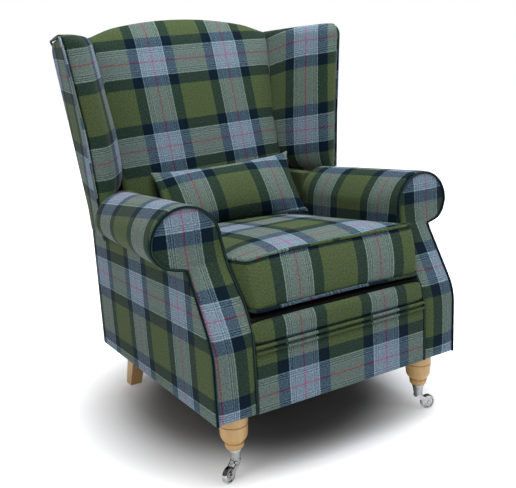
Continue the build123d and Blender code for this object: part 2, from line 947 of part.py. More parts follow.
def wing_seam(z):
    """Point of the wing piping's line at height z of the front seam."""
    return (wing_line(z, 1), wing_line(z, 2) - edge_out, z)


wing_crown = wing_top_height + edge_out
wing_rear_y = back_rear_y(wing_top_height)
with BuildPart() as wing_piping:
    piping_run(
        [
            wing_seam(arm_rear_top_height + 4),
            wing_seam(wing_stations[1][0]),
            wing_seam(wing_crown),
            (wing_outer_x(wing_crown, wing_rear_y), wing_rear_y, wing_crown),
        ],
        [600.0, wing_corner_radius + edge_out],
    )
save_pair(wing_piping.part, "wing_piping")

# ---------------------------------------------------------------- front border
# A flat panel under a padded roll, with two rows of piping in the seam between them.
piping_rows = [border_seam_height, border_seam_height - double_piping_pitch]
front_piping_y = front_y + double_piping_radius
with BuildPart() as front_piping:
    for height in piping_rows:
        with BuildSketch(Plane.YZ.offset(-border_x)):
            with Locations((front_piping_y, height)):
                Circle(double_piping_radius)
        extrude(amount=2 * border_x)
save(front_piping.part, "front_piping")

panel_top = border_seam_height + double_piping_radius
with BuildPart() as front_panel:
    side_bar(
        [
            (facing_y, base_front_height),
            (rail_y, base_front_height),
            (rail_y, panel_top),
            (facing_y, panel_top),
        ],
        -border_x,
        border_x,
    )
    for height in piping_rows:
        with BuildSketch(Plane.YZ.offset(-border_x)):
            with Locations((front_piping_y, height)):
                Circle(double_piping_radius + piping_clearance)
        extrude(amount=2 * border_x, mode=Mode.SUBTRACT)
save(front_panel.part, "front_panel")

roll_face_y = facing_y + 1
with BuildPart() as front_roll:
    with BuildSketch(Plane.YZ.offset(-border_x)):
        with BuildLine():
            top = (front_roll_top_y, deck_front_height)
            brow = (roll_brow_y, panel_top + roll_brow_rise)
            Polyline(
                top,
                (deck_front_y, deck_front_height),
                (deck_front_y, panel_top),
                (roll_face_y, panel_top),
            )
            ThreePointArc((roll_face_y, panel_top), (roll_face_y + 1, panel_top + 26), brow)
            ThreePointArc(brow, (roll_brow_y + 11, deck_front_height - 5), top)
        make_face()
    extrude(amount=2 * border_x)
    for inside in (seat_front_rail, seat_webbing, seat_deck):
        add(inside.part, mode=Mode.SUBTRACT)
save(front_roll.part, "front_roll")

# ---------------------------------------------------------------- loose cushions
# The seat cushion is a box cushion: a crowned top, straight boxing whose front leans forward like the
# arm facings, and piping round both seams. It lies on the sloping deck.
cushion_low = deck_height(cushion_front_y) + cushion_gap
seat_plane = Plane(
    origin=(0, cushion_front_y, cushion_low),
    x_dir=(1, 0, 0),
    z_dir=(0, sin(radians(seat_slope)), cos(radians(seat_slope))),
)
front_lean_tan = tan(radians(cushion_front_lean - seat_slope))
back_lean_tan = tan(radians(back_rake - seat_slope))
seat_reach = back_front_y(cushion_low) - cushion_front_y
rise_rate = cos(radians(seat_slope)) + sin(radians(seat_slope)) * rake_tan
cushion_depth = seat_reach / rise_rate - cushion_back_gap


def cushion_loop(height, inset, pull):
    """Plan outline of the seat cushion at a height above its lower seam."""
    half = cushion_half_width + cushion_swell(height) - inset
    front = min(height, cushion_thickness) * front_lean_tan + inset
    rear = cushion_depth + min(height, cushion_thickness) * back_lean_tan - inset
    middle = (front + rear) / 2
    corners = [
        (-half, front),
        (0, front + pull),
        (half, front),
        (half - pull, middle),
        (half, rear),
        (0, rear - pull),
        (-half, rear),
        (-half + pull, middle),
    ]
    radii = [cushion_corner_radius, cushion_side_radius] * 4
    return FilletPolyline(*corners, radius=radii, close=True)


def cushion_swell(height):
    """Growth of the cushion's half width from its lower seam to height, to match the arms."""
    return min(height, cushion_thickness) / cushion_thickness * arm_swell


tube_inset = 2 * piping_radius + seam_clearance
seam_low = piping_radius
seam_high = cushion_thickness
seam_half = piping_radius + seam_clearance
cushion_levels = [
    (0.0, tube_inset, cushion_pull),
    (seam_low + seam_half, tube_inset, cushion_pull),
    (seam_low + seam_half + 1, 1.0, cushion_pull),
    (cushion_thickness / 2, 0.0, cushion_pull),
    (seam_high - seam_half - 1, 1.0, cushion_pull),
    (seam_high - seam_half, tube_inset, cushion_pull),
    (seam_high + piping_radius, tube_inset, cushion_pull),
    (seam_high + cushion_crown * 0.5, 34.0, cushion_pull),
    (seam_high + cushion_crown * 0.85, 86.0, cushion_pull / 2),
    (seam_high + cushion_crown, 150.0, cushion_pull / 2),
]
with BuildPart() as seat_cushion:
    for height, inset, pull in cushion_levels:
        with BuildSketch(seat_plane.offset(height)):
            with BuildLine():
                cushion_loop(height, inset, pull)
            make_face()
    loft(ruled=True)
save(seat_cushion.part, "seat_cushion")

with BuildPart() as seat_cushion_piping:
    for height in (seam_low, seam_high):
        with BuildLine(seat_plane.offset(height)) as seam:
            cushion_loop(height, piping_radius, cushion_pull)
        with BuildSketch(Plane(origin=seam.line @ 0, z_dir=seam.line % 0)):
            Circle(piping_radius)
        sweep(path=seam.line)
save(seat_cushion_piping.part, "seat_cushion_piping")

# The scatter cushion has knife edges, four pulled-out corners and drawn-in sides, and leans back.
yaw = radians(scatter_yaw)
lean = radians(scatter_lean)
seat_top = cushion_low - (scatter_y - cushion_front_y) * slope_tan
seat_top += (cushion_thickness + cushion_crown) / cos(radians(seat_slope))
scatter_plane = Plane(
    origin=(scatter_x, scatter_y, seat_top + scatter_rise),
    x_dir=(cos(yaw), sin(yaw), 0),
    z_dir=(sin(yaw) * cos(lean), -cos(yaw) * cos(lean), sin(lean)),
).rotated((0, 0, scatter_roll))
scatter_levels = [(0.0, 0.0), (0.32, 10.0), (0.62, 26.0), (0.86, 48.0), (1.0, 78.0)]
with BuildPart() as scatter_cushion:
    for share, inset in [(-share, inset) for share, inset in reversed(scatter_levels[1:])] + scatter_levels:
        with BuildSketch(scatter_plane.offset(share * scatter_thickness / 2)):
            half_x = scatter_width / 2 - inset
            half_y = scatter_height / 2 - inset
            pull = scatter_pull * half_y / scatter_height * 2
            with BuildLine():
                ThreePointArc((-half_x, -half_y), (0, -half_y + pull), (half_x, -half_y))
                ThreePointArc((half_x, -half_y), (half_x - pull, 0), (half_x, half_y))
                ThreePointArc((half_x, half_y), (0, half_y - pull), (-half_x, half_y))
                ThreePointArc((-half_x, half_y), (-half_x + pull, 0), (-half_x, -half_y))
            make_face()
    loft(ruled=True)
save(scatter_cushion.part, "scatter_cushion")

# ---------------------------------------------------------------- legs
leg_top = base_height(front_leg_y + leg_radius) - leg_gap
cup_taper = (cup_top_radius - cup_bottom_radius) / (cup_top - cup_bottom)
spigot_bottom = cup_bottom + cup_base


def cup_radius(z):
    """Outer radius of the cup's tapered wall at height z."""
    return cup_bottom_radius + (z - cup_bottom) * cup_taper


# The turned shape from the cup upwards: a small ovolo, a cove, a large ovolo, a long shaft with a ring
# cut near its top. Radii are shares of the shaft's.
shaft = leg_radius
cup_inside = cup_radius(cup_top) - cup_wall
small_ovolo = (shaft * 0.66, cup_top + 9)
cove_top = (shaft * 0.69, cup_top + 21)
large_ovolo = (shaft * 0.95, cup_top + 38)
with BuildPart() as front_leg:
    with BuildSketch(Plane(origin=(front_leg_x, front_leg_y, 0), x_dir=(1, 0, 0), z_dir=(0, -1, 0))):
        with BuildLine():
            Polyline(
                (0, leg_top),
                (0, spigot_bottom),
                (cup_radius(spigot_bottom) - cup_wall, spigot_bottom),
                (cup_inside, cup_top),
                (cup_inside + 1, cup_top + 0.1),
            )
            ThreePointArc((cup_inside + 1, cup_top + 0.1), (shaft * 0.6, cup_top + 3.5), small_ovolo)
            Polyline(
                small_ovolo,
                (shaft * 0.68, cup_top + 15.5),
                (shaft * 0.62, cup_top + 16.7),
                (shaft * 0.62, cup_top + 19.2),
                cove_top,
            )
            ThreePointArc(cove_top, (shaft * 0.86, cup_top + 27.5), large_ovolo)
            Polyline(
                large_ovolo,
                (shaft * 0.985, leg_top - 31),
                (shaft * 0.94, leg_top - 29.5),
                (shaft * 0.94, leg_top - 27),
                (shaft, leg_top - 25.5),
                (shaft, leg_top),
                (0, leg_top),
            )
        make_face()
    revolve(axis=Axis((front_leg_x, front_leg_y, 0), (0, 0, 1)))
    add(leg_bolts.part, mode=Mode.SUBTRACT)
save_pair(front_leg.part, "front_leg")

rear_top_z = base_height(rear_leg_top_y + rear_leg_top / 2) - leg_gap
with BuildPart() as rear_leg:
    with BuildSketch(Plane.XY):
        with Locations((rear_leg_foot_x, rear_leg_foot_y)):
            Rectangle(rear_leg_foot, rear_leg_foot)
    with BuildSketch(Plane.XY.offset(rear_top_z)):
        with Locations((rear_leg_top_x, rear_leg_top_y)):
            Rectangle(rear_leg_top, rear_leg_top)
    loft(ruled=True)
    add(leg_bolts.part, mode=Mode.SUBTRACT)
save_pair(rear_leg.part, "rear_leg")

# ---------------------------------------------------------------- castors
# A tapered cup is pushed over the leg's turned end. A fork swivels in the cup's base, and its wheel
# runs on a headed axle between the two cheeks.
crown_top = cup_bottom - castor_gap
crown_bottom = crown_top - crown_thickness
for side, sign in (("left", -1), ("right", 1)):
    leg_x = sign * front_leg_x
    trail = (cos(radians(castor_angle[side])), sin(radians(castor_angle[side])), 0)
    across = (trail[1], -trail[0], 0)
    hub = (leg_x + wheel_trail * trail[0], front_leg_y + wheel_trail * trail[1], wheel_radius)
    fork_plane = Plane(origin=(leg_x, front_leg_y, 0), x_dir=trail, z_dir=across)
    hub_plane = Plane(origin=hub, x_dir=across, z_dir=(-trail[0], -trail[1], 0))
    hub_axis = Axis(hub, across)
    half_wheel = wheel_width / 2
    cheek_inner = half_wheel + cheek_gap
    cheek_outer = cheek_inner + cheek_thickness

    with BuildPart() as castor_cup:
        with BuildSketch(Plane(origin=(leg_x, front_leg_y, 0), x_dir=(1, 0, 0), z_dir=(0, -1, 0))):
            with BuildLine():
                Polyline(
                    (spindle_radius + running_clearance, cup_bottom),
                    (cup_radius(cup_bottom), cup_bottom),
                    (cup_radius(cup_top - 5), cup_top - 5),
                    (cup_radius(cup_top) + cup_rim, cup_top - 4),
                    (cup_radius(cup_top) + cup_rim, cup_top),
                    (cup_inside, cup_top),
                    (cup_radius(spigot_bottom) - cup_wall, spigot_bottom),
                    (0, spigot_bottom),
                    (0, spigot_bottom - 1),
                    (spindle_radius + running_clearance, spigot_bottom - 1),
                    close=True,
                )
            make_face()
        revolve(axis=Axis((leg_x, front_leg_y, 0), (0, 0, 1)))
    save(castor_cup.part, f"castor_cup_{side}")

    with BuildPart() as castor_axle:
        for start, length, radius in (
            (-cheek_outer, 2 * cheek_outer, axle_radius),
            (-cheek_outer - axle_head, axle_head, axle_radius + axle_head),
            (cheek_outer, axle_head, axle_radius + axle_head),
        ):
            with BuildSketch(fork_plane.offset(start)):
                with Locations((wheel_trail, wheel_radius)):
                    Circle(radius)
            extrude(amount=length)
    save(castor_axle.part, f"castor_axle_{side}")

    with BuildPart() as castor_fork:
        with BuildSketch(Plane.XY.offset(crown_bottom)):
            with Locations(Location((leg_x, front_leg_y, 0), (0, 0, castor_angle[side]))):
                RectangleRounded(2 * cheek_outer + 1, 2 * cheek_outer, 4)
        extrude(amount=crown_thickness)
        with BuildSketch(Plane.XY.offset(crown_top)):
            with Locations((leg_x, front_leg_y)):
                Circle(spindle_radius)
        extrude(amount=spindle_length)
        for start in (-cheek_outer, cheek_inner):
            with BuildSketch(fork_plane.offset(start)):
                with Locations((wheel_trail, wheel_radius)):
                    Circle(axle_radius * 2.3)
                with Locations((0, crown_bottom + 1)):
                    Rectangle(2 * cheek_outer - 4, 2)
                make_hull()
            extrude(amount=cheek_thickness)
        add(castor_axle.part, mode=Mode.SUBTRACT)
    save(castor_fork.part, f"castor_fork_{side}")

    with BuildPart() as castor_wheel:
        with BuildSketch(hub_plane):
            bore = axle_radius + running_clearance
            web = half_wheel - wheel_dish
            profile = [
                (half_wheel, bore),
                (half_wheel, axle_radius * 2.1),
                (web, axle_radius * 2.4),
                (web, wheel_radius * 0.7),
                (half_wheel, wheel_radius * 0.77),
                (half_wheel, wheel_radius - 2),
                (half_wheel - 2, wheel_radius),
            ]
            with BuildLine():
                Polyline(*profile, *[(-u, v) for u, v in reversed(profile)], close=True)
            make_face()
        revolve(axis=hub_axis)
    save(castor_wheel.part, f"castor_wheel_{side}")
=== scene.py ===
"""Fireside chair: a tartan wing armchair with scroll arms, turned beech legs and cup castors.

Metres in the scene; the sizes of the sewn pieces are written in millimetres, as a cutter would have
them, and made metres when each mesh is made. +Z is up and the chair faces -Y.
"""
import math

import bpy
import bmesh
import numpy as np
from mathutils import Matrix, Vector


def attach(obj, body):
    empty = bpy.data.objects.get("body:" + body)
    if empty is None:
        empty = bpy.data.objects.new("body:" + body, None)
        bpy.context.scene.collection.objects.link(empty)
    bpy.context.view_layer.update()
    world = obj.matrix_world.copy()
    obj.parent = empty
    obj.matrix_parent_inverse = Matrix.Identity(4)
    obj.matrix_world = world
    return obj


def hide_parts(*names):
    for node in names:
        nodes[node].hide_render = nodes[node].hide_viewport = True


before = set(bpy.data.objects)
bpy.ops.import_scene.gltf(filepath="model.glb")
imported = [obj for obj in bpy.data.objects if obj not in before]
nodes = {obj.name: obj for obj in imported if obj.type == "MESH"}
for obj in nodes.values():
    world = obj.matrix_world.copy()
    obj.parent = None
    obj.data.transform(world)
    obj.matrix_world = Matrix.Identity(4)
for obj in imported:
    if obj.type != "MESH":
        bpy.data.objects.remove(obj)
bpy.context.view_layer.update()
bpy.ops.object.select_all(action="DESELECT")
scene = bpy.context.scene
scene.view_settings.view_transform = "Standard"

# ---------------------------------------------------------------- camera
# The eye is 0.9 m up, in front of the chair and off to its -X side. It looks down on the seat, and
# the picture is tilted a little.
turn, tip, tilt = math.radians(-30.81), math.radians(13.46), math.radians(-2.98)
looked_at, camera_reach = Vector((-0.1799, -0.337, 0.5275)), 1.6014
away = Vector((math.sin(turn) * math.cos(tip), -math.cos(turn) * math.cos(tip), math.sin(tip)))
level = Vector((math.cos(turn), math.sin(turn), 0.0))
upright = away.cross(level)
camera_right = math.cos(tilt) * level + math.sin(tilt) * upright
camera_up = math.cos(tilt) * upright - math.sin(tilt) * level
camera_spot = looked_at + away * camera_reach
camera_data = bpy.data.cameras.new("camera")
camera_data.sensor_width = 36.0
camera_data.lens = 50.74
camera = bpy.data.objects.new("camera", camera_data)
scene.collection.objects.link(camera)
columns = [(*column, 0.0) for column in (camera_right, camera_up, away)] + [(*camera_spot, 1.0)]
camera.matrix_world = Matrix(columns).transposed()
scene.camera = camera

# ---------------------------------------------------------------- studio
# A plain white floor that runs out of sight, with a shadow painted under the chair, soft light
# from above and from both sides, and an even white surround.


def wire(node, inputs):
    """Gives each input of a shader node a value, or links it to another node's output."""
    for socket, value in inputs.items():
        if isinstance(value, bpy.types.NodeSocket):
            node.id_data.links.new(value, node.inputs[socket])
        else:
            node.inputs[socket].default_value = value


def add(tree, kind, inputs, **settings):
    """Adds a shader node with its settings and inputs."""
    node = tree.nodes.new(f"ShaderNode{kind}")
    for setting, value in settings.items():
        setattr(node, setting, value)
    wire(node, inputs)
    return node


def on_piece(tree):
    """Adds the place on a piece, in the chair's own metres."""
    return add(tree, "TexCoord", {}).outputs["Object"]


def reckon(tree, operation, *values, **settings):
    """Adds a step of arithmetic and gives its result."""
    return add(tree, "Math", dict(enumerate(values)), operation=operation, **settings).outputs[0]


def between(tree, share, low, high, start=0.0, end=1.0, **settings):
    """Adds a step that turns start to end into low to high, and gives its result."""
    limits = {"From Min": start, "From Max": end, "To Min": low, "To Max": high}
    return add(tree, "MapRange", {"Value": share, **limits}, **settings).outputs["Result"]


def ramp(tree, share, stops, interpolation="LINEAR"):
    """Adds a ramp through colours, each with its place, and gives its colour."""
    node = add(tree, "ValToRGB", {"Fac": share})
    node.color_ramp.interpolation = interpolation
    spots = node.color_ramp.elements
    for number, (place, colour) in enumerate(stops):
        spot = spots[number] if number < 2 else spots.new(place)
        spot.position = place
        spot.color = (*colour, 1.0)
    return node.outputs["Color"]


def new_material(name):
    """Starts a material, and gives it with its node tree and its shader."""
    material = bpy.data.materials.new(name)
    material.use_nodes = True
    return material, material.node_tree, material.node_tree.nodes["Principled BSDF"]


bpy.ops.mesh.primitive_plane_add(size=30.0, location=(0.0, 0.0, 0.0))
floor = bpy.context.object
floor.name = "floor"

white = (1.0, 1.0, 1.0, 1.0)
floor_paint, tree, shader = new_material("floor_paint")
out_from = add(tree, "VectorMath", {0: on_piece(tree)}, operation="LENGTH")
out_from = out_from.outputs["Value"]
# the floor's own colour is painted darker right under the chair: a painted shadow
painted_floor_shadow = ramp(tree, out_from, [(0.25, (0.20, 0.202, 0.207)), (0.43, (0.79, 0.81, 0.85))], "EASE")
wire(shader, {"Base Color": painted_floor_shadow, "Roughness": 0.9, "Specular IOR Level": 0.1})
# and pales into the white surround a little way out; the chair is lit by half of that glow
rays = add(tree, "LightPath", {})
seen = reckon(tree, "MAXIMUM", rays.outputs["Is Camera Ray"], 0.5)
fade = between(tree, out_from, 0.0, 1.0, 0.29, 0.72, interpolation_type="SMOOTHSTEP")
glow = add(tree, "Emission", {"Color": white, "Strength": reckon(tree, "MULTIPLY", seen, fade)})
both = add(tree, "AddShader", {0: shader.outputs[0], 1: glow.outputs[0]})
wire(tree.nodes["Material Output"], {"Surface": both.outputs[0]})
floor.data.materials.append(floor_paint)

world = bpy.data.worlds.new("surround")
scene.world = world
world.use_nodes = True
tree = world.node_tree
rays = add(tree, "LightPath", {})
seen = reckon(tree, "MAXIMUM", rays.outputs["Is Camera Ray"], rays.outputs["Is Transmission Ray"])
# metal and lacquer mirror a darker room than the cloth is lit by
room_level, mirrored_less = 0.31, -0.22
brightness = between(tree, seen, room_level, 1.0)
brightness = reckon(tree, "MULTIPLY_ADD", rays.outputs["Is Glossy Ray"], mirrored_less, brightness)
wire(tree.nodes["Background"], {"Strength": brightness, "Color": white})


def softbox(name, place, target, width, watts, tint=(1.0, 1.0, 1.0)):
    """Adds a square lamp that faces a point."""
    data = bpy.data.lights.new(name, "AREA")
    data.size = width
    data.energy = watts
    data.color = tint
    lamp = bpy.data.objects.new(name, data)
    lamp.location = place
    lamp.rotation_euler = (Vector(target) - Vector(place)).to_track_quat("-Z", "Y").to_euler()
    scene.collection.objects.link(lamp)


softbox("lamp_above", (0.3, -0.3, 3.0), (0.0, 0.0, 0.4), width=2.0, watts=92.0)
softbox("lamp_front", (1.9, -2.9, 1.7), (0.0, -0.1, 0.5), width=1.6, watts=11.0)
lamplight = (1.0, 0.93, 0.84)
softbox("lamp_side", (-2.5, -0.9, 2.3), (0.0, 0.0, 0.5), width=1.6, watts=26.0, tint=lamplight)

# ---------------------------------------------------------------- timber frame
# Planed hardwood, glued and screwed, left bare because the covers hide it. The corner blocks are
# bolted through to the legs.


def noise(tree, where, scale, detail, **inputs):
    """Adds an uneven pattern and gives its share."""
    inputs = {"Vector": where, "Scale": scale, "Detail": detail, **inputs}
    return add(tree, "TexNoise", inputs).outputs["Fac"]


def raise_by(tree, shader, height, depth, strength):
    """Gives a material relief where height is greatest."""
    relief = add(tree, "Bump", {"Height": height, "Distance": depth, "Strength": strength})
    wire(shader, {"Normal": relief.outputs["Normal"]})


def wood(name, pale, deep, grain, roughness, coat):
    """Makes a wood whose grain runs along the axis on which grain is small."""
    material, tree, shader = new_material(name)
    place = on_piece(tree)
    stretch = add(tree, "Mapping", {"Vector": place, "Scale": grain}).outputs["Vector"]
    figure = noise(tree, stretch, scale=34.0, detail=5.0, Distortion=0.6)
    tone = ramp(tree, figure, [(0.30, deep), (0.68, pale)])
    # short dark flecks along the grain
    fleck = noise(tree, stretch, scale=210.0, detail=2.0)
    flecked = add(
        tree,
        "Mix",
        {
            "Factor": between(tree, fleck, 0.0, 0.42, 0.60, 0.72),
            "A": tone,
            "B": (*(0.62 * part for part in deep), 1.0),
        },
        data_type="RGBA",
    )
    wire(
        shader,
        {
            "Base Color": flecked.outputs["Result"],
            "Roughness": between(tree, figure, roughness - 0.08, roughness + 0.10),
            "Coat Weight": coat,
            "Coat Roughness": 0.22,
        },
    )
    raise_by(tree, shader, fleck, depth=0.0003, strength=0.25)
    return material


def finish(material, *names):
    """Gives CAD nodes their material."""
    for name in names:
        for slot in nodes[name].material_slots:
            slot.material = material


sides = (("left", -1.0), ("right", 1.0))
timber_pale, timber_deep = (0.58, 0.42, 0.25), (0.44, 0.29, 0.155)
upright_timber, cross_timber, side_timber = (
    wood(name, timber_pale, timber_deep, grain, roughness=0.62, coat=0.0)
    for name, grain in (
        ("upright_timber", (1.0, 1.0, 0.07)),
        ("cross_timber", (0.07, 1.0, 1.0)),
        ("side_timber", (1.0, 0.07, 1.0)),
    )
)
finish(cross_timber, "seat_front_rail", "seat_back_rail", "back_stay_rail", "back_crest_rail")
finish(upright_timber, "corner_blocks")
for name, _ in sides:
    finish(side_timber, f"seat_side_rail_{name}", f"arm_top_rail_{name}")
    finish(upright_timber, f"arm_post_{name}", f"back_post_{name}", f"wing_frame_{name}")

# ---------------------------------------------------------------- webbing
# Black elastic webbing, tacked across the seat and the back under light tension. Its rubber is
# covered with a fine ribbed knit.
for name, along, across in (("seat_webbing", "Y", "X"), ("back_webbing", "X", "Z")):
    elastic, tree, shader = new_material(name)
    split = add(tree, "SeparateXYZ", {0: on_piece(tree)})
    waves = [
        reckon(tree, "SINE", reckon(tree, "MULTIPLY", split.outputs[axis], 2 * math.pi / gauge))
        for axis, gauge in ((along, 0.0016), (across, 0.0024))
    ]
    knit = reckon(tree, "MAXIMUM", *waves)
    tone = ramp(tree, knit, [(0.0, (0.012, 0.012, 0.013)), (1.0, (0.05, 0.05, 0.052))])
    wire(shader, {"Base Color": tone, "Roughness": 0.8})
    raise_by(tree, shader, knit, depth=0.0005, strength=1.0)
    finish(elastic, name)

# ---------------------------------------------------------------- seat deck
# A needled felt platform over the webbing, tacked along the rails. The seat cushion lies on it and
# keeps it out of sight.


def spun_cloth(name, pale, deep, scale, depth):
    """Makes a cloth of matted fibres."""
    material, tree, shader = new_material(name)
    fibres = noise(tree, on_piece(tree), scale, detail=6.0, Distortion=1.5)
    tone = ramp(tree, fibres, [(0.35, deep), (0.65, pale)])
    wire(shader, {"Base Color": tone, "Roughness": 0.95, "Specular IOR Level": 0.15})
    raise_by(tree, shader, fibres, depth, strength=0.6)
    return material


felt_pale, felt_deep = (0.12, 0.125, 0.13), (0.05, 0.052, 0.056)
deck_felt = spun_cloth("deck_felt", felt_pale, felt_deep, scale=300.0, depth=0.0012)
finish(deck_felt, "seat_deck")

# ---------------------------------------------------------------- the cloth
# Wool twill, woven to one tartan both ways: a pale blue-lavender band with a magenta thread in its
# middle, a navy band on each side of it, and an olive green ground with a fine pale thread.
sett_across, sett_up = 0.241, 0.245
rib_width = 0.0021
wander_width = 0.0022
yarns = {
    "magenta": (0.60, 0.26, 0.40),
    "lavender": (0.430, 0.492, 0.555),
    "pale": (0.53, 0.61, 0.66),
    "shadow": (0.23, 0.31, 0.37),
    "navy": (0.020, 0.105, 0.155),
    "green": (0.272, 0.322, 0.215),
    "straw": (0.41, 0.455, 0.34),
}
# where each stripe starts, in shares of the sett out from the middle of the lavender band
stripes = [
    (0.0, "magenta"),
    (0.006, "lavender"),
    (0.092, "pale"),
    (0.098, "shadow"),
    (0.106, "lavender"),
    (0.114, "pale"),
    (0.122, "shadow"),
    (0.131, "lavender"),
    (0.137, "pale"),
    (0.144, "shadow"),
    (0.151, "pale"),
    (0.167, "navy"),
    (0.292, "green"),
    (0.4965, "straw"),
]


def thread_colour(tree, along, sett):
    """Adds the nodes that give a thread's colour from its place along the sett."""
    fold = reckon(tree, "PINGPONG", reckon(tree, "DIVIDE", along, sett), 0.5)
    return ramp(tree, fold, [(start, yarns[yarn]) for start, yarn in stripes], "CONSTANT")


tartan, tree, shader = new_material("tartan")
weave_map = add(tree, "UVMap", {}, uv_map="weave").outputs["UV"]
# wool isn't ruled straight: the stripes wander by a fraction of a millimetre
wander = add(tree, "TexNoise", {"Vector": weave_map, "Scale": 160.0, "Detail": 2.0})
centred = {
    0: wander.outputs["Color"],
    1: (wander_width, wander_width, 0.0),
    2: (-wander_width / 2, -wander_width / 2, 0.0),
}
wandering = add(tree, "VectorMath", centred, operation="MULTIPLY_ADD").outputs["Vector"]
placed = add(tree, "VectorMath", {0: weave_map, 1: wandering}, operation="ADD").outputs["Vector"]
split = add(tree, "SeparateXYZ", {0: placed}).outputs
# twill: warp and weft show in turn along fine diagonal ribs, broken up by the wool's nap
diagonal = reckon(tree, "ADD", split["X"], split["Y"])
ribs = reckon(tree, "SINE", reckon(tree, "MULTIPLY", diagonal, 2 * math.pi / rib_width))
nap = noise(tree, weave_map, scale=420.0, detail=3.0, Roughness=0.65)
nap = between(tree, nap, 0.18, 0.82, start=0.3, end=0.7)
over = reckon(tree, "MULTIPLY_ADD", ribs, 0.25, nap, use_clamp=True)
threads = {
    "Factor": over,
    "A": thread_colour(tree, split["X"], sett_across),
    "B": thread_colour(tree, split["Y"], sett_up),
}
woven = add(tree, "Mix", threads, data_type="RGBA").outputs["Result"]
# the yarns are dyed in the wool, so their depth varies from place to place
blotch = noise(tree, weave_map, scale=260.0, detail=4.0)
depth_of_dye = between(tree, blotch, 0.82, 1.17, start=0.3, end=0.7)
dyed = add(tree, "VectorMath", {0: woven, "Scale": depth_of_dye}, operation="SCALE")
linear = add(tree, "Gamma", {"Color": dyed.outputs["Vector"], "Gamma": 2.2})
wire(
    shader,
    {
        "Base Color": linear.outputs["Color"],
        "Roughness": 0.92,
        "Specular IOR Level": 0.1,
        "Sheen Weight": 0.06,
        "Sheen Roughness": 0.45,
    },
)
raise_by(tree, shader, over, depth=0.0006, strength=0.35)

# ---------------------------------------------------------------- inside back
# Foam under tartan, from below the seat up over the humped crest rail and down to a seam behind it.
# The cover is drawn tight and is a little full between the wings.
MM = 0.001


def steps(low, high, count):
    """Evenly spaced values from low to high."""
    return np.linspace(low, high, count)


def joined(*parts):
    """Single values and runs of values, in one array."""
    return np.concatenate([np.atleast_1d(part) for part in parts])


def closed(*parts):
    """Stretches of points in one ring, its last point its first again."""
    ring = np.vstack(parts)
    return np.vstack([ring, ring[:1]])


def lengths(points):
    """Distance along each line of points, from its first."""
    gaps = np.linalg.norm(np.diff(points, axis=-2), axis=-1)
    return np.concatenate([np.zeros_like(gaps[..., :1]), np.cumsum(gaps, axis=-1)], axis=-1)


def fallen(past, radius):
    """How far a quarter round has fallen away at a distance past its start."""
    return radius - np.sqrt(np.maximum(radius**2 - np.maximum(past, 0.0) ** 2, 0.0))


def laid(along, up, place):
    """Where points of a piece lie on the cloth.

    place is how far the stripes are moved across and up, and how much the columns lean and the rows
    climb where the cloth was pulled to shape."""
    along, up = np.asarray(along, float), np.asarray(up, float)
    return np.stack([along - place[2] * up + place[0], up - place[3] * along + place[1]], axis=-1)


def patch(index, spots, faces, corners):
    """Adds the faces between a grid of points, and the cloth's place at their corners."""
    for i in range(index.shape[0] - 1):
        for j in range(index.shape[1] - 1):
            around = [(i, j), (i, j + 1), (i + 1, j + 1), (i + 1, j)]
            faces.append([index[at] for at in around])
            corners.extend(spots[at] for at in around)


def mesh_piece(name, points, faces, corners, weld=False):
    """Makes a piece from points in millimetres, with the cloth's place at each face corner."""
    mesh = bpy.data.meshes.new(name)
    faces = [[int(corner) for corner in face] for face in faces]
    mesh.from_pydata([tuple(point) for point in np.asarray(points) * MM], [], faces)
    layer = mesh.uv_layers.new(name="weave")
    layer.data.foreach_set("uv", np.asarray(np.asarray(corners) * MM, np.float32).ravel())
    piece = bpy.data.objects.new(name, mesh)
    scene.collection.objects.link(piece)
    shell = bmesh.new()
    shell.from_mesh(mesh)
    if weld:
        bmesh.ops.remove_doubles(shell, verts=shell.verts, dist=1e-5)
    bmesh.ops.recalc_face_normals(shell, faces=shell.faces)
    shell.to_mesh(mesh)
    shell.free()
    return piece


def sewn(name, rows, weave, open_ended=False):
    """Makes a tube of cloth from closed rows of points, each with its place on the cloth.

    Its ends are closed flat, or if open_ended its last row is its first and is welded to it."""
    rows, weave = np.asarray(rows, float), np.asarray(weave, float)
    used = rows.shape[1] - 1
    index = np.arange(len(rows))[:, None] * used + np.arange(used + 1) % used
    faces, corners = [], []
    patch(index, weave, faces, corners)
    if not open_ended:
        faces += [index[0, :used][::-1], index[-1, :used]]
        corners += [*weave[0, :used][::-1], *weave[-1, :used]]
    return mesh_piece(name, rows[:, :used].reshape(-1, 3), faces, corners, weld=open_ended)


def held_at_seams(rows, free_rows, free_columns):
    """1 where a cover is held, 0 where the filling can press it out."""
    held = np.ones((len(rows), len(rows[0]) - 1))
    held[slice(*free_rows), slice(*free_columns)] = 0.0
    return held.ravel()


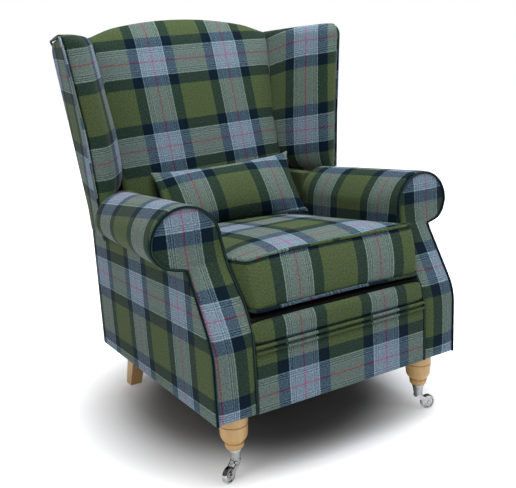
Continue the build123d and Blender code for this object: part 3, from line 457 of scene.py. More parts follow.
def fill_out(piece, held, pressure, most, frames=20):
    """Lets the filling press a cover out where it isn't held, by so many millimetres at most."""
    mesh = piece.data
    rest = np.empty(len(mesh.vertices) * 3)
    mesh.vertices.foreach_get("co", rest)
    rest = rest.reshape(-1, 3)
    group = piece.vertex_groups.new(name="held")
    for index, weight in enumerate(held):
        if weight > 0:
            group.add([index], float(weight), "REPLACE")
    filling = piece.modifiers.new("filling", "CLOTH")
    settings = filling.settings
    settings.vertex_group_mass = "held"
    settings.use_pressure = True
    settings.uniform_pressure_force = pressure
    settings.effector_weights.gravity = 0.0
    settings.quality = 5
    settings.tension_stiffness = settings.compression_stiffness = 12.0
    settings.shear_stiffness = 6.0
    settings.bending_stiffness = 0.6
    for number in range(1, frames + 1):
        scene.frame_set(number)
    moved = piece.evaluated_get(bpy.context.evaluated_depsgraph_get()).to_mesh()
    swollen = np.empty(len(rest) * 3)
    moved.vertices.foreach_get("co", swollen)
    shift = swollen.reshape(-1, 3) - rest
    reach = np.linalg.norm(shift, axis=1, keepdims=True)
    shift *= np.minimum(1.0, most * MM / np.maximum(reach, 1e-9))
    piece.modifiers.remove(filling)
    piece.vertex_groups.clear()
    mesh.vertices.foreach_set("co", (rest + shift).ravel())
    mesh.update()
    scene.frame_set(1)


def smoothed(piece):
    """Subdivides a piece's mesh smoothly, once."""
    finer = piece.modifiers.new("finer", "SUBSURF")
    finer.levels = 1
    finer.render_levels = 1
    bpy.ops.object.select_all(action="DESELECT")
    bpy.context.view_layer.objects.active = piece
    piece.select_set(True)
    bpy.ops.object.modifier_apply(modifier=finer.name)
    piece.select_set(False)


def dress(piece, material, body, slot, *replaced):
    """Finishes a piece: smooth, in its material, riding on its body in place of CAD nodes."""
    piece.data.materials.append(material)
    for face in piece.data.polygons:
        face.use_smooth = True
    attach(piece, body)
    if replaced:
        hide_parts(*replaced)


rake = math.radians(13.5)
back_foot_y = 84.39
back_depth = 84.0
back_low = 362.0
back_fullness = 8.0
back_place = (-155.2, -968.6, -0.034, 0.050)
crest_round = 26.0
crest_half, hump_half = 300.0, 205.0
hump_heights = (1058.0, 1039.0, 1012.0)
hump_end_slope, crest_end_slope = -0.185, -0.1
hump_tilt, hump_drop = 0.011, 1.5


def up_back(z):
    """Distance up the face of the back at which its rounded top edge reaches height z."""
    return (z + crest_round * (math.sin(rake) + math.cos(rake) - 1)) / math.cos(rake)


def crest(x, drop=0.0):
    """Distance up the back of the hump's top edge. The hump stands a little higher to the right."""
    x = np.asarray(x, float)
    out = np.abs(x)
    middle, edge, shoulder = (up_back(height - drop) for height in hump_heights)
    radius = (hump_half**2 + (middle - edge) ** 2) / (2 * (middle - edge))
    hump = middle - fallen(np.minimum(out, hump_half), radius)
    width = crest_half - hump_half
    t = np.clip((out - hump_half) / width, 0.0, 1.0)
    fall = (
        (2 * t**3 - 3 * t**2 + 1) * edge
        + (t**3 - 2 * t**2 + t) * width * hump_end_slope
        + (3 * t**2 - 2 * t**3) * shoulder
        + (t**3 - t**2) * width * crest_end_slope
    )
    return np.where(out <= hump_half, hump, fall) + hump_tilt * x - hump_drop


def wing_root_x(z):
    """Half the width between the wings where they meet the back, at height z."""
    return np.interp(z, [760.0, 1003.0, 1022.0], [261.0, 288.0, 300.0])


rows = []
face_count = 58
turns = np.radians(steps(18.0, 90.0, 5))
for across in steps(-1.0, 1.0, 57):
    top = float(crest(across * crest_half))
    # up the face, round the top edge, over the rail to the seam behind it and down inside
    rise = joined(
        steps(back_low, top - crest_round, face_count),
        top - crest_round + crest_round * np.sin(turns),
        top - np.array([0.0, 0.5, 4.0, 10.0, 18.0, 60.0, 62.0]),
        back_low,
    )
    fullness = (1 - across**4) * np.clip((top - rise) / 60.0, 0.0, 1.0)
    fullness = back_fullness * fullness * np.clip((rise - 400.0) / 80.0, 0.0, 1.0)
    out = joined(
        fullness[:face_count],
        crest_round * (np.cos(turns) - 1),
        [-42.0, -58.0, -70.0, -77.0, -80.0, -79.0, -34.0, -34.0],
    )
    x = across * wing_root_x(rise * math.cos(rake))
    y = back_foot_y + rise * math.sin(rake) - out * math.cos(rake)
    z = rise * math.cos(rake) + out * math.sin(rake)
    rows.append(closed(np.column_stack([x, y, z])))
rows = np.array(rows)
weave = laid(rows[..., 0], lengths(rows) + back_low, back_place)
inside_back = sewn("inside_back", rows, weave)
fill_out(inside_back, held_at_seams(rows, (1, -1), (4, 60)), pressure=3.0, most=4.0)
smoothed(inside_back)
dress(inside_back, tartan, "frame", "tartan", "back_pad")

# ---------------------------------------------------------------- wings
# Each wing is one padded cover, sewn to the back at its root, drawn round a soft nose at the front
# and over the top, and caught in the piping along its outer edge.
wing_heights = [488.0, 760.0, 1003.0]
wing_low, wing_high = 572.0, 1009.0
wing_lip, wing_nose, wing_swell = 62.0, 22.0, 8.0
wing_top_round, wing_corner = 24.0, 28.0
wing_top_front = 138.0
root_hollow, lip_hollow = 58.0, 24.0
hollow_low, hollow_rise, tuck_rise = 596.0, 74.0, 28.0
right_wing_rise = 18.0
back_knee_y = 285.0
wing_places = {"left": (-70.0, -936.9, 0.0, 0.097), "right": (-13.0, -964.4, 0.032, -0.109)}


def wing_front(z):
    """Where the front edge of a wing's board is at height z."""
    across, deep = [375.0, 394.0, 425.0], [113.0, 121.0, wing_top_front]
    return np.array([np.interp(z, wing_heights, across), np.interp(z, wing_heights, deep)])


def wing_rear_x(z):
    """Half the width over the rear edges of the wings' boards at height z."""
    return np.interp(z, wing_heights, [349.0, 363.0, 377.0])


def back_face_y(z):
    """Depth of the face of the back at height z."""
    return back_foot_y + z * math.tan(rake)


def back_slope_y(z):
    """Depth of the raked outside of the back at height z."""
    return back_face_y(z) + back_depth / math.cos(rake)


def back_rear_y(z):
    """Depth of the outside of the back at height z: upright, then raked."""
    return np.maximum(back_knee_y, back_slope_y(z))


def bowed(first, last, bulge, count):
    """Points along an arc between two points that stands off their chord by bulge."""
    chord = last - first
    normal = np.array([chord[1], -chord[0]]) / np.linalg.norm(chord)
    t = steps(0.0, 1.0, count)[:, None]
    return first + chord * t + normal * (4 * bulge * t * (1 - t))


def wing_rise(y, z, side):
    """How much higher the right wing stands than the left one at depth y and height z."""
    share = np.clip((z - wing_heights[1]) / 245.0, 0.0, 1.0)
    share = share * (1 - 0.5 * np.clip((y - wing_top_front) / 190.0, 0.0, 1.0))
    return (right_wing_rise if side > 0 else 0.0) * share


def wing_points(section, z, side):
    """Points of a plan outline of a wing at height z."""
    x, y = section.T
    return np.column_stack([side * x, y, z + wing_rise(y, z, side)])


def wing_section(z):
    """Plan outline of a wing's cover at height z, from outer edge round the nose to its root."""
    front_x, front_y = wing_front(z)
    setback = fallen(z - (wing_high - wing_corner), wing_corner)
    trim = fallen(z - (wing_high - wing_top_round), wing_top_round)
    tuck = fallen(1 - (z - wing_low) / tuck_rise, 1.0)
    # low down the pad is rounded off, and leaves a deep hollow beside the back
    hollow = fallen(1 - (z - hollow_low) / hollow_rise, 1.0)
    edge = np.array([front_x - 3.0, front_y + setback + 1.0])
    lip_x = front_x - 4.0 - wing_lip + trim + 20.0 * tuck
    lip = np.array([lip_x, front_y + 8.0 + setback + 16.0 * tuck])
    root = np.array([wing_root_x(z) + trim * 0.5, back_face_y(z) + 1.0])
    nose_line = bowed(lip, edge, (wing_nose - trim * 0.5) * (1 - 0.75 * tuck), 13)[::-1]
    nose_line[:, 0] += hollow * steps(0.0, lip_hollow, 13)
    inner_line = bowed(root, lip, wing_swell * (1 - tuck), 23)[::-1]
    inner_line[:, 0] += hollow * steps(lip_hollow, root_hollow, 23)
    rear_y = back_rear_y(z) - 6.0
    hidden = [(root[0] + 4.0 + root_hollow * hollow, rear_y), (wing_rear_x(z) - 5.0, rear_y)]
    return closed(nose_line, inner_line[1:], hidden)


# which points of a section end its nose, its inner side and its hidden side
nose_end, root_end, outer_end = 12, 34, 36
for name, side in sides:
    levels = joined(
        wing_low + np.array([0.0, 3.0, 8.0, 14.0, 20.0, 28.0, 38.0]),
        steps(wing_low + 48.0, wing_high - 30.0, 34),
        wing_high - np.array([22.0, 16.0, 11.0, 6.0, 2.5, 0.0]),
    )
    rows = [wing_points(wing_section(z), z, side) for z in levels]
    # the flat of the top, drawn in to the outer seam
    crown = rows[-1]
    seam = crown.copy()
    run = lengths(crown[: root_end + 1])
    seam[: root_end + 1] = crown[0] + (crown[outer_end] - crown[0]) * (run / run[-1])[:, None]
    seam[root_end + 1] = crown[outer_end]
    rows = np.array(rows + [crown + (seam - crown) * share for share in (0.3, 0.6, 0.85, 0.97)])
    run = lengths(rows)
    run = run - run[:, nose_end, None]
    middle = np.sin(np.pi * np.clip(run / run[:, root_end, None], 0.0, 1.0))
    lifted = wing_rise(rows[..., 1], rows[..., 2], side) * (1 + 0.6 * middle)
    weave = laid(run, rows[..., 2] - lifted, wing_places[name])
    weave[-4:] = weave[-5]
    weave[-4:, :, 1] += np.linalg.norm(rows[-4:] - crown, axis=2)
    wing = sewn(f"wing_cover_{name}", rows, weave)
    fill_out(wing, held_at_seams(rows, (3, 38), (2, 33)), pressure=3.0, most=5.0)
    smoothed(wing)
    dress(wing, tartan, "frame", "tartan", f"wing_pad_{name}")

# ---------------------------------------------------------------- arms
# Foam from the seat deck up and over the scroll, the cover drawn tight and nailed under the roll.
# It starts behind the piping of the facing and ends under the wing.
facing_y = -412.0
bend_radius, bend_start = 130.0, 300.0
front_lean = math.radians(31.0)
scroll_setback = 104.0
bend_rise, bend_run = bend_radius * math.sin(front_lean), bend_radius * (1 - math.cos(front_lean))
slant_low = bend_start + bend_rise
slant_high = slant_low + (scroll_setback - 2 * bend_run) / math.tan(front_lean)
scroll_low = slant_high + bend_rise
arm_foot, arm_seam = 330.0, 490.0
arm_inner_x, arm_outer_x, arm_core_x = 243.0, 349.0, 290.0
arm_rear_y, head_rear_y = 112.0, -292.0
front_hub, rear_hub, end_hub = (338.0, 545.0), (322.0, 535.0), np.array([322.0, 530.0])
arm_rolls = {"left": 86.0, "right": 82.0}
rear_slimmer = 10.0
fold_y = -280.0
arm_places = {"left": (-39.9, -12.4, -0.2487, 0.067), "right": (0.2, -26.1, -0.066, 0.008)}


def front_line(z):
    """Depth of the arm's S-shaped front at height z."""
    z = np.asarray(z, float)
    return facing_y + np.select(
        [z <= bend_start, z <= slant_low, z <= slant_high, z <= scroll_low],
        [
            0.0,
            fallen(z - bend_start, bend_radius),
            bend_run + (z - slant_low) * math.tan(front_lean),
            scroll_setback - fallen(scroll_low - z, bend_radius),
        ],
        scroll_setback,
    )


def arm_outline(inset, roll, hub=front_hub, swell=370.0, foot=arm_foot, inward=0.0):
    """Front outline of an arm, up its inner side, over the roll and in to the seam below it."""
    r = roll - inset
    hub_x, hub_z = hub
    inner_z = [foot, swell, swell + 70.0, hub_z]
    inner_x = np.array([arm_inner_x, arm_inner_x, 252.0, hub_x - roll]) + inset
    z = steps(foot, hub_z, 24)
    fuller = inward * np.sqrt(np.sin(np.pi * np.clip((z - 328.0) / 216.0, 0.0, 1.0)))
    up_inner = np.column_stack([np.interp(z, inner_z, inner_x) - fuller, z])
    a = np.radians(steps(180.0, 0.0, 33))[1:]
    over = np.column_stack([hub_x + r * np.cos(a), hub_z + r * np.sin(a)])
    seam = arm_seam + inset
    under = hub_z - seam
    tuck = np.array([hub_x + 0.42 * r, seam + 0.1 * under])
    belly = np.array([hub_x + 0.8 * r, seam + 0.4 * under])
    pull = 2 * belly - 0.5 * over[-1] - 0.5 * tuck
    t = steps(0.0, 1.0, 13)[1:, None]
    below = (1 - t) ** 2 * over[-1] + 2 * t * (1 - t) * pull + t**2 * tuck
    notch = np.array([arm_outer_x - inset, seam])
    home = tuck + (notch - tuck) * steps(0.0, 1.0, 5)[1:, None]
    return np.vstack([up_inner, over, below, home])


# the outline's point on top of the roll
roll_top = 39
# how far back each row is, how far it is drawn in, and how far it starts behind the front
row_shares = joined(0.0, 0.0, 0.0, 0.004, 0.012, steps(0.03, 0.955, 36), 0.975, 0.99, 0.997, 1.0)
row_insets = joined(9.0, 8.0, 3.4, 1.0, 0.0, np.zeros(36), 0.0, 1.2, 3.5, 9.0)
row_starts = joined(9.0, 9.0, np.full(43, 8.0))
for name, side in sides:
    roll = arm_rolls[name]
    rows = []
    for share, inset, start in zip(row_shares, row_insets, row_starts):
        front_inset = inset if share < 0.5 else 0.0
        wide = arm_outline(front_inset, roll)
        slim = arm_outline(front_inset, roll - rear_slimmer, rear_hub)
        y = front_line(joined(wide[:, 1], arm_foot)) + start
        y = y + (arm_rear_y - y) * share
        y, y_foot = y[:-1], y[-1]
        taper = np.clip((y - head_rear_y) / (arm_rear_y - head_rear_y), 0.0, 1.0)[:, None]
        outline = wide + (slim - wide) * taper
        if share > 0.5:
            # the end under the wing is drawn in towards the middle of the roll
            reach = np.linalg.norm(outline - end_hub, axis=1, keepdims=True)
            fade = np.clip((np.arange(len(outline)) - 22) / 10.0, 0.0, 1.0)[:, None]
            outline = outline + (end_hub - outline) / reach * inset * fade
        if not rows:
            # the first row folds in behind the facing, where it closes flat
            y, y_foot = np.full(len(y), fold_y), fold_y
        core_x = side * arm_core_x
        hidden = [
            (core_x, y[-1], arm_seam),
            (core_x, (y[-1] + y_foot) / 2, 410.0),
            (core_x, y_foot, arm_foot),
        ]
        rows.append(closed(np.column_stack([side * outline[:, 0], y, outline[:, 1]]), hidden))
    rows = np.array(rows)
    run = lengths(rows[..., [0, 2]])
    weave = laid(rows[..., 1], run - run[:, roll_top, None], arm_places[name])
    arm = sewn(f"arm_cover_{name}", rows, weave)
    fill_out(arm, held_at_seams(rows, (6, -5), (6, 66)), pressure=3.0, most=3.5)
    smoothed(arm)
    dress(arm, tartan, "frame", "tartan", f"arm_pad_{name}")

    # the inside of the arm carries on below the wing to the back
    rows = []
    inner_z, inner_x = [330.0, 370.0, 440.0, 545.0, 610.0], [243.0, 243.0, 252.0, 253.5, 254.0]
    start = arm_rear_y - 0.2
    for z in joined(arm_foot, steps(340.0, 586.0, 27), 591.0, 593.5):
        x, rear = np.interp(z, inner_z, inner_x) + 0.2, back_face_y(z) + 6.0
        face = [(side * x, y, z) for y in steps(start, rear, 14)]
        rows.append(closed(face, [(side * arm_core_x, rear, z), (side * arm_core_x, start, z)]))
    rows = np.array(rows)
    weave = laid(rows[..., 1], rows[..., 2] - 667.0, arm_places[name])
    inner = sewn(f"arm_inner_rear_{name}", rows, weave)
    dress(inner, tartan, "frame", "tartan", f"arm_pad_{name}")

# ---------------------------------------------------------------- front border
# A padded roll over the front rail, a flat panel below it, and two rows of piping in the seam.
# Black lining carries the felt deck forward over the rail to the roll.
# Its near black, far darker than the felt, is painted shade for the gap under the cushion.
border_half = 242.6
border_places = {"roll": (121.9, 65.0, 0.0, 0.0), "panel": (121.4, 110.7, -0.017, 0.0)}
panel_shift = 317.0
piping_rows = {"upper": 321.0, "lower": 308.0}
hem_front = 167.0
panel_depth = 4.0
roll_line = [
    (-389.6, 362.0),
    (-389.8, 368.0),
    (-391.0, 371.5),
    (-393.5, 373.2),
    (-396.5, 373.0),
    (-399.5, 370.6),
    (-402.2, 366.5),
    (-404.5, 361.0),
    (-406.8, 354.0),
    (-409.0, 346.0),
    (-410.6, 338.0),
    (-410.8, 332.0),
    (-410.2, 328.0),
    (-408.0, 324.5),
]
roll_hidden = [(-397.0, 323.0), (-390.5, 340.0), (-389.6, 352.0)]
roll_middle = np.array([-396.0, 345.0])


def across_chair(x, profile):
    """A profile of depths and heights, standing at x across."""
    return np.column_stack([np.full(len(profile), x), profile])


rows = []
for x in joined(-border_half, -242.0, -239.0, steps(-232.0, 232.0, 45), 239.0, 242.0, border_half):
    from_end = border_half - abs(x)
    drawn_in = sum(3.0 * max(0.0, 1 - from_end / width) ** 2 for width in (4.0, 40.0))
    profile = closed(roll_line, roll_hidden)
    reach = np.linalg.norm(profile - roll_middle, axis=1, keepdims=True)
    profile = profile + (roll_middle - profile) / reach * drawn_in
    crown = np.clip((profile[:, 1] - roll_middle[1]) / 25.0, 0.0, 1.0)
    profile[:, 1] += 3.0 * (1 - abs(x / border_half) ** 3) * crown
    rows.append(across_chair(x, profile))
rows = np.array(rows)
run = lengths(rows)
weave = laid(rows[..., 0], run[:, len(roll_line) - 1, None] - run, border_places["roll"])
front_roll = sewn("front_roll_cover", rows, weave)
fill_out(front_roll, held_at_seams(rows, (2, -2), (2, 13)), pressure=3.0, most=4.0)
smoothed(front_roll)
dress(front_roll, tartan, "frame", "tartan", "front_roll")


def board_section(points, outward):
    """Closed outline of a covered board from the points of its face, its edges rounded over."""
    outward = np.asarray(outward, float)
    first, last = points[0], points[-1]
    ahead = (first - points[1]) / np.linalg.norm(first - points[1])
    behind = (last - points[-2]) / np.linalg.norm(last - points[-2])
    turned, deep = outward * 2.5, outward * panel_depth
    return closed(
        [first - turned, first - (outward + ahead) * 0.7],
        points[1:-1],
        [last - (outward + behind) * 0.7, last - turned, last - deep, first - deep],
    )


def board_cover(name, rows, axis, place, replaced, shift=0.0):
    """Makes the cover of a board. axis is the one that the cloth's width runs along."""
    rows = np.array(rows)
    cover = sewn(name, rows, laid(rows[..., axis], rows[..., 2] - shift, place))
    dress(cover, tartan, "frame", "tartan", replaced)


rows = []
x = joined(-border_half, -241.0, steps(-236.0, 236.0, 40), 241.0, border_half)
hem_levels = hem_front + np.array([0.0, 0.6, 2.5])
for z in joined(hem_levels, steps(176.0, 300.0, 16), steps(306.0, 324.0, 4)):
    depth = facing_y + max(0.0, 1.6 - (z - hem_front) * 0.8)
    # the panel steps back behind the two rows of piping
    depth = depth + np.clip((z - 299.0) / 5.0, 0.0, 1.0) * 6.0
    face = np.column_stack([x, depth - 0.8 * np.cos(np.pi * x / 500.0), np.full(len(x), z)])
    rows.append(board_section(face, (0.0, -1.0, 0.0)))
board_cover("front_panel_cover", rows, 0, border_places["panel"], "front_panel", panel_shift)


def piping(name, line, side_of, cut, body, replaced, radius=3.1, looped=False, crosswise=False):
    """Makes piping, cord in a strip of cloth, along a line of points.

    side_of is a direction that stays off the line's own. cut is where the strip was cut: along one
    stripe of the tartan, with how much of the cross stripes it meets, or crosswise, to carry on the
    columns beside it."""
    line = np.asarray(line, float)
    ahead = np.roll(line, -1, axis=0) - np.roll(line, 1, axis=0)
    if not looped:
        ahead[0], ahead[-1] = line[1] - line[0], line[-1] - line[-2]
    ahead /= np.linalg.norm(ahead, axis=1, keepdims=True)
    across = np.asarray(side_of, float) - (ahead @ np.asarray(side_of, float))[:, None] * ahead
    across /= np.linalg.norm(across, axis=1, keepdims=True)
    third = np.cross(ahead, across)
    if looped:
        line, across, third = closed(line), closed(across), closed(third)
    run = lengths(line)[:, None]
    turns = np.radians(steps(0.0, 360.0, 13))
    ripple = 1 + 0.025 * np.sin(run / 4.1) + 0.02 * np.sin(run / 9.7 + 1.0)
    round_cord = np.cos(turns)[:, None] * across[:, None] + np.sin(turns)[:, None] * third[:, None]
    rows = line[:, None] + radius * ripple[..., None] * round_cord
    run, around = np.broadcast_arrays(run, radius * turns)
    if crosswise:
        spots = laid(run, around, (*cut, 0.0, 0.0))
    else:
        spots = laid(around, run * cut[2], (*cut[:2], 0.0, 0.0))
    tube = sewn(name, rows, spots, open_ended=looped)
    dress(tube, tartan, body, "piping", replaced)


def evenly(line, gap, ease, looped=False):
    """The line again with points a fixed gap apart, its bends eased by averaging."""
    line = closed(line) if looped else np.asarray(line, float)
    run = lengths(line)
    spots = steps(0.0, run[-1], int(run[-1] / gap) + 1)
    even = np.column_stack([np.interp(spots, run, line[:, k]) for k in range(3)])
    if looped:
        even = even[:-1]
    for _ in range(ease):
        eased = (np.roll(even, 1, axis=0) + 2 * even + np.roll(even, -1, axis=0)) / 4
        if not looped:
            eased[0], eased[-1] = even[0], even[-1]
        even = eased
    return even


navy_strip, olive_strip, pale_strip = 54.0, 90.0, 32.0
piping_half = 242.4
front_cut = (border_places["panel"][0] - piping_half, 118.0)
for row, height in piping_rows.items():
    piping(
        f"front_piping_{row}",
        [(x, facing_y - 0.6, height) for x in steps(-piping_half, piping_half, 100)],
        (0.0, -1.0, 0.0),
        front_cut,
        "frame",
        "front_piping",
        radius=3.4,
        crosswise=True,
    )

lining_line = [
    (-391.2, 362.0),
    (-391.2, 374.0),
    (-390.4, 378.2),
    (-388.0, 379.6),
    (-376.0, 379.0),
    (-350.0, 377.4),
    (-331.5, 376.4),
]
profile = closed(lining_line, np.array(lining_line[::-1]) + [1.2, -1.2])
rows = np.array([across_chair(x, profile) for x in steps(-241.5, 241.5, 25)])
lining = sewn("front_rail_lining", rows, rows[..., :2])
# painted shade: the lining is near black, darker than the felt deck, to stand for the shade under
# the cushion
lining_painted_shade_pale, lining_painted_shade_deep = (0.009, 0.009, 0.010), (0.004, 0.004, 0.005)
lining_painted_shade = spun_cloth("lining_painted_shade", lining_painted_shade_pale, lining_painted_shade_deep, scale=420.0, depth=0.0005)
dress(lining, lining_painted_shade, "frame", "black_cloth")

# ---------------------------------------------------------------- arm facings
# A padded board closes the front of each arm. Its cover follows the S of the front and is edged all
# round with piping.
facing_places = {"left": (332.4, -493.6, -0.029, 0.003), "right": (-343.6, -489.0, 0.006, 0.0195)}
facing_inset, facing_edge, facing_round = 4.4, 5.0, 34.0
facing_swell = 410.0
facing_piping_inset = 3.5
inwards = {"left": 8.0, "right": 0.0}
hub_x, hub_z = front_hub
line_z = steps(150.0, 640.0, 491)
line_run = lengths(np.column_stack([front_line(line_z), line_z]))
for name, side in sides:
    shape = {"roll": arm_rolls[name], "swell": facing_swell, "inward": inwards[name]}
    outline = arm_outline(facing_inset, foot=hem_front, **shape)
    inner_edge, outer_edge = outline[: roll_top + 1], outline[roll_top:][::-1]
    outer_z = joined(hem_front - 1.0, arm_seam + facing_inset, outer_edge[1:, 1])
    outer_x = joined([arm_outer_x - facing_inset] * 2, outer_edge[1:, 0])
    roll = arm_rolls[name] - facing_inset
    levels = joined(
        hem_front,
        hem_front + 1.5,
        steps(hem_front + 8.0, arm_seam, 42),
        arm_seam + facing_inset + 0.4,
        [498.5, 501.0, 503.5, 507.0, 512.0, 518.0, 525.0, 534.0],
        hub_z + roll * np.sin(np.radians(joined(steps(0.0, 84.0, 22), 86.5, 88.6))),
    )
    rows = []
    for z in levels:
        x_in = np.interp(z, inner_edge[:, 1], inner_edge[:, 0])
        x_out = np.interp(z, outer_z, outer_x)
        x = x_in + (x_out - x_in) * (1 - np.cos(np.pi * steps(0.0, 1.0, 23))) / 2
        from_edge = np.minimum(x - x_in, x_out - x)
        if z > hub_z:
            from_edge = np.minimum(from_edge, roll - np.hypot(x - hub_x, z - hub_z))
        from_edge = np.clip(np.minimum(from_edge, (z - hem_front) * 2.0), 0.0, facing_round)
        full = np.sqrt(np.maximum(1 - (1 - from_edge / facing_round) ** 2, 0.0))
        y = front_line(z) + facing_edge - (facing_edge + 2.5) * full
        back_y = front_line(z) + 15.0
        back = [(side * x_out, back_y, z), (side * x_in, back_y, z)]
        rows.append(closed(np.column_stack([side * x, y, np.full(len(x), z)]), back))
    rows = np.array(rows)
    weave = laid(rows[..., 0], np.interp(rows[..., 2], line_z, line_run), facing_places[name])
    facing = sewn(f"facing_{name}", rows, weave)
    fill_out(facing, held_at_seams(rows, (2, -2), (2, 21)), pressure=2.5, most=2.0)
    smoothed(facing)
    dress(facing, tartan, "frame", "tartan", f"arm_facing_{name}")

    foot = hem_front + 1.0
    down = [(arm_outer_x - facing_piping_inset, z) for z in steps(480.0, foot, 40)]
    x, z = np.vstack([arm_outline(facing_piping_inset, foot=foot, **shape), down]).T
    piping(
        f"facing_piping_{name}_cover",
        evenly(np.column_stack([side * x, front_line(z) + 1.6, z]), 3.0, ease=2),
        (0.0, -1.0, 0.0),
        (navy_strip, 42.0, 0.016),
        "frame",
        f"facing_piping_{name}",
    )

# ---------------------------------------------------------------- outside of the wings
# Tartan over card, nailed along the wing's board: from the seam under the arm to the piped top
# edge. The piping turns down behind the rounded rear corner, where it ends.
wing_outside_place = (-255.0, -897.6, -0.16, 0.05)
wing_foot, panel_high = 488.0, 1001.0
corner_round, top_corner = 12.0, 44.0
piping_over = 1.5
wing_cuts = {"left": (pale_strip, 110.0, 1.0), "right": (navy_strip, 0.0, 1.0)}


def turned_in(z):
    """How far the outside back turns forward round the rear corners at height z."""
    return corner_round * np.clip((z - 489.0) / 60.0, 0.0, 1.0)


def rear_corner(z):
    """Where the outside of a wing ends at height z, short of the rounded rear corner."""
    slack = turned_in(z) + fallen(z - (panel_high - top_corner), top_corner)
    return np.array([wing_rear_x(z), back_rear_y(z) - slack])


def wing_top_x(y, rear_y):
    """Half the width over the wings' top edges at depth y."""
    return np.interp(y, [wing_top_front, rear_y], [424.0, 377.0])


for name, side in sides:
    rows = []
    levels = joined(
        wing_foot + np.array([0.0, 1.0, 4.0]),
        steps(500.0, 968.0, 44),
        steps(975.0, panel_high - 3.0, 7),
        panel_high - np.array([0.8, 0.0]),
    )
    for z in levels:
        front, rear = wing_front(z), rear_corner(z)
        width = np.linalg.norm(rear - front)
        start = fallen(z - (panel_high - wing_corner), wing_corner) / width
        outward = np.array([rear[1] - front[1], front[0] - rear[0]]) / width
        t = joined(start, start + 0.01, steps(start + 0.03, 0.97, 24), 0.99, 1.0)[:, None]
        drawn_in = max(0.0, 1.2 - (z - wing_foot) * 0.4, 1.2 - (panel_high - z) * 0.5)
        face = front + (rear - front) * t + outward * (1.6 * np.sin(np.pi * t) - drawn_in)
        rows.append(wing_points(board_section(face, outward), z, side))
    board_cover(f"wing_outside_{name}", rows, 1, wing_outside_place, f"wing_outer_panel_{name}")

    line = []
    for z in steps(600.0, panel_high - wing_corner, 60):
        x, y = wing_front(z)
        line.append((x, y - piping_over, z))
    radius = wing_corner + piping_over
    for angle in np.radians(steps(8.0, 90.0, 12)):
        y = wing_top_front - piping_over + radius * (1 - math.cos(angle))
        z = panel_high - wing_corner + radius * math.sin(angle)
        line.append((wing_top_x(y, 411.0), y, z))
    rear_y = float(back_rear_y(panel_high))
    turn_y = rear_y - corner_round - top_corner
    for y in steps(175.0, turn_y, 26):
        line.append((wing_top_x(y, rear_y), y, panel_high + piping_over))
    for share in steps(0.1, 1.0, 6):
        y = turn_y + 22.0 * share
        x = wing_top_x(y, rear_y) - 8.0 * share
        line.append((x, y, panel_high + piping_over - 11.0 * share))
    line = evenly(np.array(line) * [side, 1.0, 1.0], 4.0, ease=3)
    line[:, 2] += wing_rise(line[:, 1], line[:, 2], side)
    piping(
        f"wing_piping_{name}_cover",
        line,
        (side, 0.3, 0.0),
        wing_cuts[name],
        "frame",
        f"wing_piping_{name}",
    )

# ---------------------------------------------------------------- outside of the arms
# One flat panel on each side, from the seam under the roll down to the hem. It is drawn over card
# and tacked under the side rail.
side_place = (-215.8, -385.5, 0.013, -0.042)
hem_rear = 150.0
side_top = arm_seam + 0.5


def hem_height(y):
    """Height of the hem at depth y."""
    return hem_front + (y - facing_y) / (back_knee_y - facing_y) * (hem_rear - hem_front)


t = joined(0.0, 0.006, steps(0.02, 0.975, 44), 0.992, 1.0)
for name, side in sides:
    rows = []
    for share in joined(0.0, 0.003, 0.01, steps(0.03, 0.97, 40), 0.99, 0.996, 1.0):
        front = front_line(hem_front + share * (side_top - hem_front)) + 5.5
        y = front + (back_knee_y - front) * t
        z = hem_height(y) + share * (side_top - hem_height(y))
        drawn_in = max(0.0, 1.6 - share * 200.0, 1.0 - (1 - share) * 150.0)
        x = arm_outer_x - drawn_in + 1.5 * np.sin(np.pi * t) * math.sin(math.pi * share)
        rows.append(board_section(np.column_stack([side * x, y, z]), (side, 0.0, 0.0)))
    board_cover(f"arm_outside_{name}", rows, 1, side_place, f"arm_outer_panel_{name}")

# ---------------------------------------------------------------- outside back
# The last panel to go on: it hangs from the seam behind the crest, bends at the knee of the posts
# and is slip-stitched down both sides.
outside_back_place = (0.0, -150.0, 0.0, 0.0)
knee_softness = 2.5
back_heights, back_halves = [150.0, 489.0, 760.0, 1003.0], [345.0, 345.0, 359.0, 373.0]
crest_drop = 14.0
rows, weave = [], []
for across in joined(-1.0, -0.996, steps(-0.985, 0.985, 56), 0.996, 1.0):
    top = float(crest(across * crest_half, crest_drop))
    top_z = top * math.cos(rake) - back_depth * math.sin(rake)
    z = joined(
        hem_rear + np.array([1.0, 2.0, 5.0]),
        steps(165.0, top_z - 12.0, 70),
        top_z - np.array([5.0, 1.5, 0.0]),
    )
    # above the wings it draws in to the width of the crest
    half = np.interp(z, back_heights, back_halves)
    share = np.clip((z - 1000.0) / 12.0, 0.0, 1.0)
    half = np.where(z > 1000.0, back_halves[-1] + (crest_half - back_halves[-1]) * share, half)
    x = across * half
    bend = (back_slope_y(z) - back_knee_y) / knee_softness
    y = back_knee_y + np.logaddexp(0.0, bend) * knee_softness
    # above the arms the panel turns forward round the rear corners to meet the wings
    past = np.clip(np.abs(x) - (half - turned_in(z)), 0.0, turned_in(z))
    y = y - fallen(past, turned_in(z))
    side_in = max(0.0, 0.8 - (1 - abs(across)) * 120.0)
    edge_in = np.minimum(2.0, side_in + np.clip(1.5 - (top_z - z) * 0.3, 0.0, 1.5))
    face = np.column_stack([x, y - edge_in, z])
    ring = closed(face, face[::-1] - [0.0, panel_depth, 0.0])
    run = lengths(face)
    rows.append(ring)
    weave.append(laid(-ring[:, 0], joined(run, run[::-1], run[0]), outside_back_place))
outside_back = sewn("outside_back", rows, weave)
dress(outside_back, tartan, "frame", "tartan", "outside_back_panel")

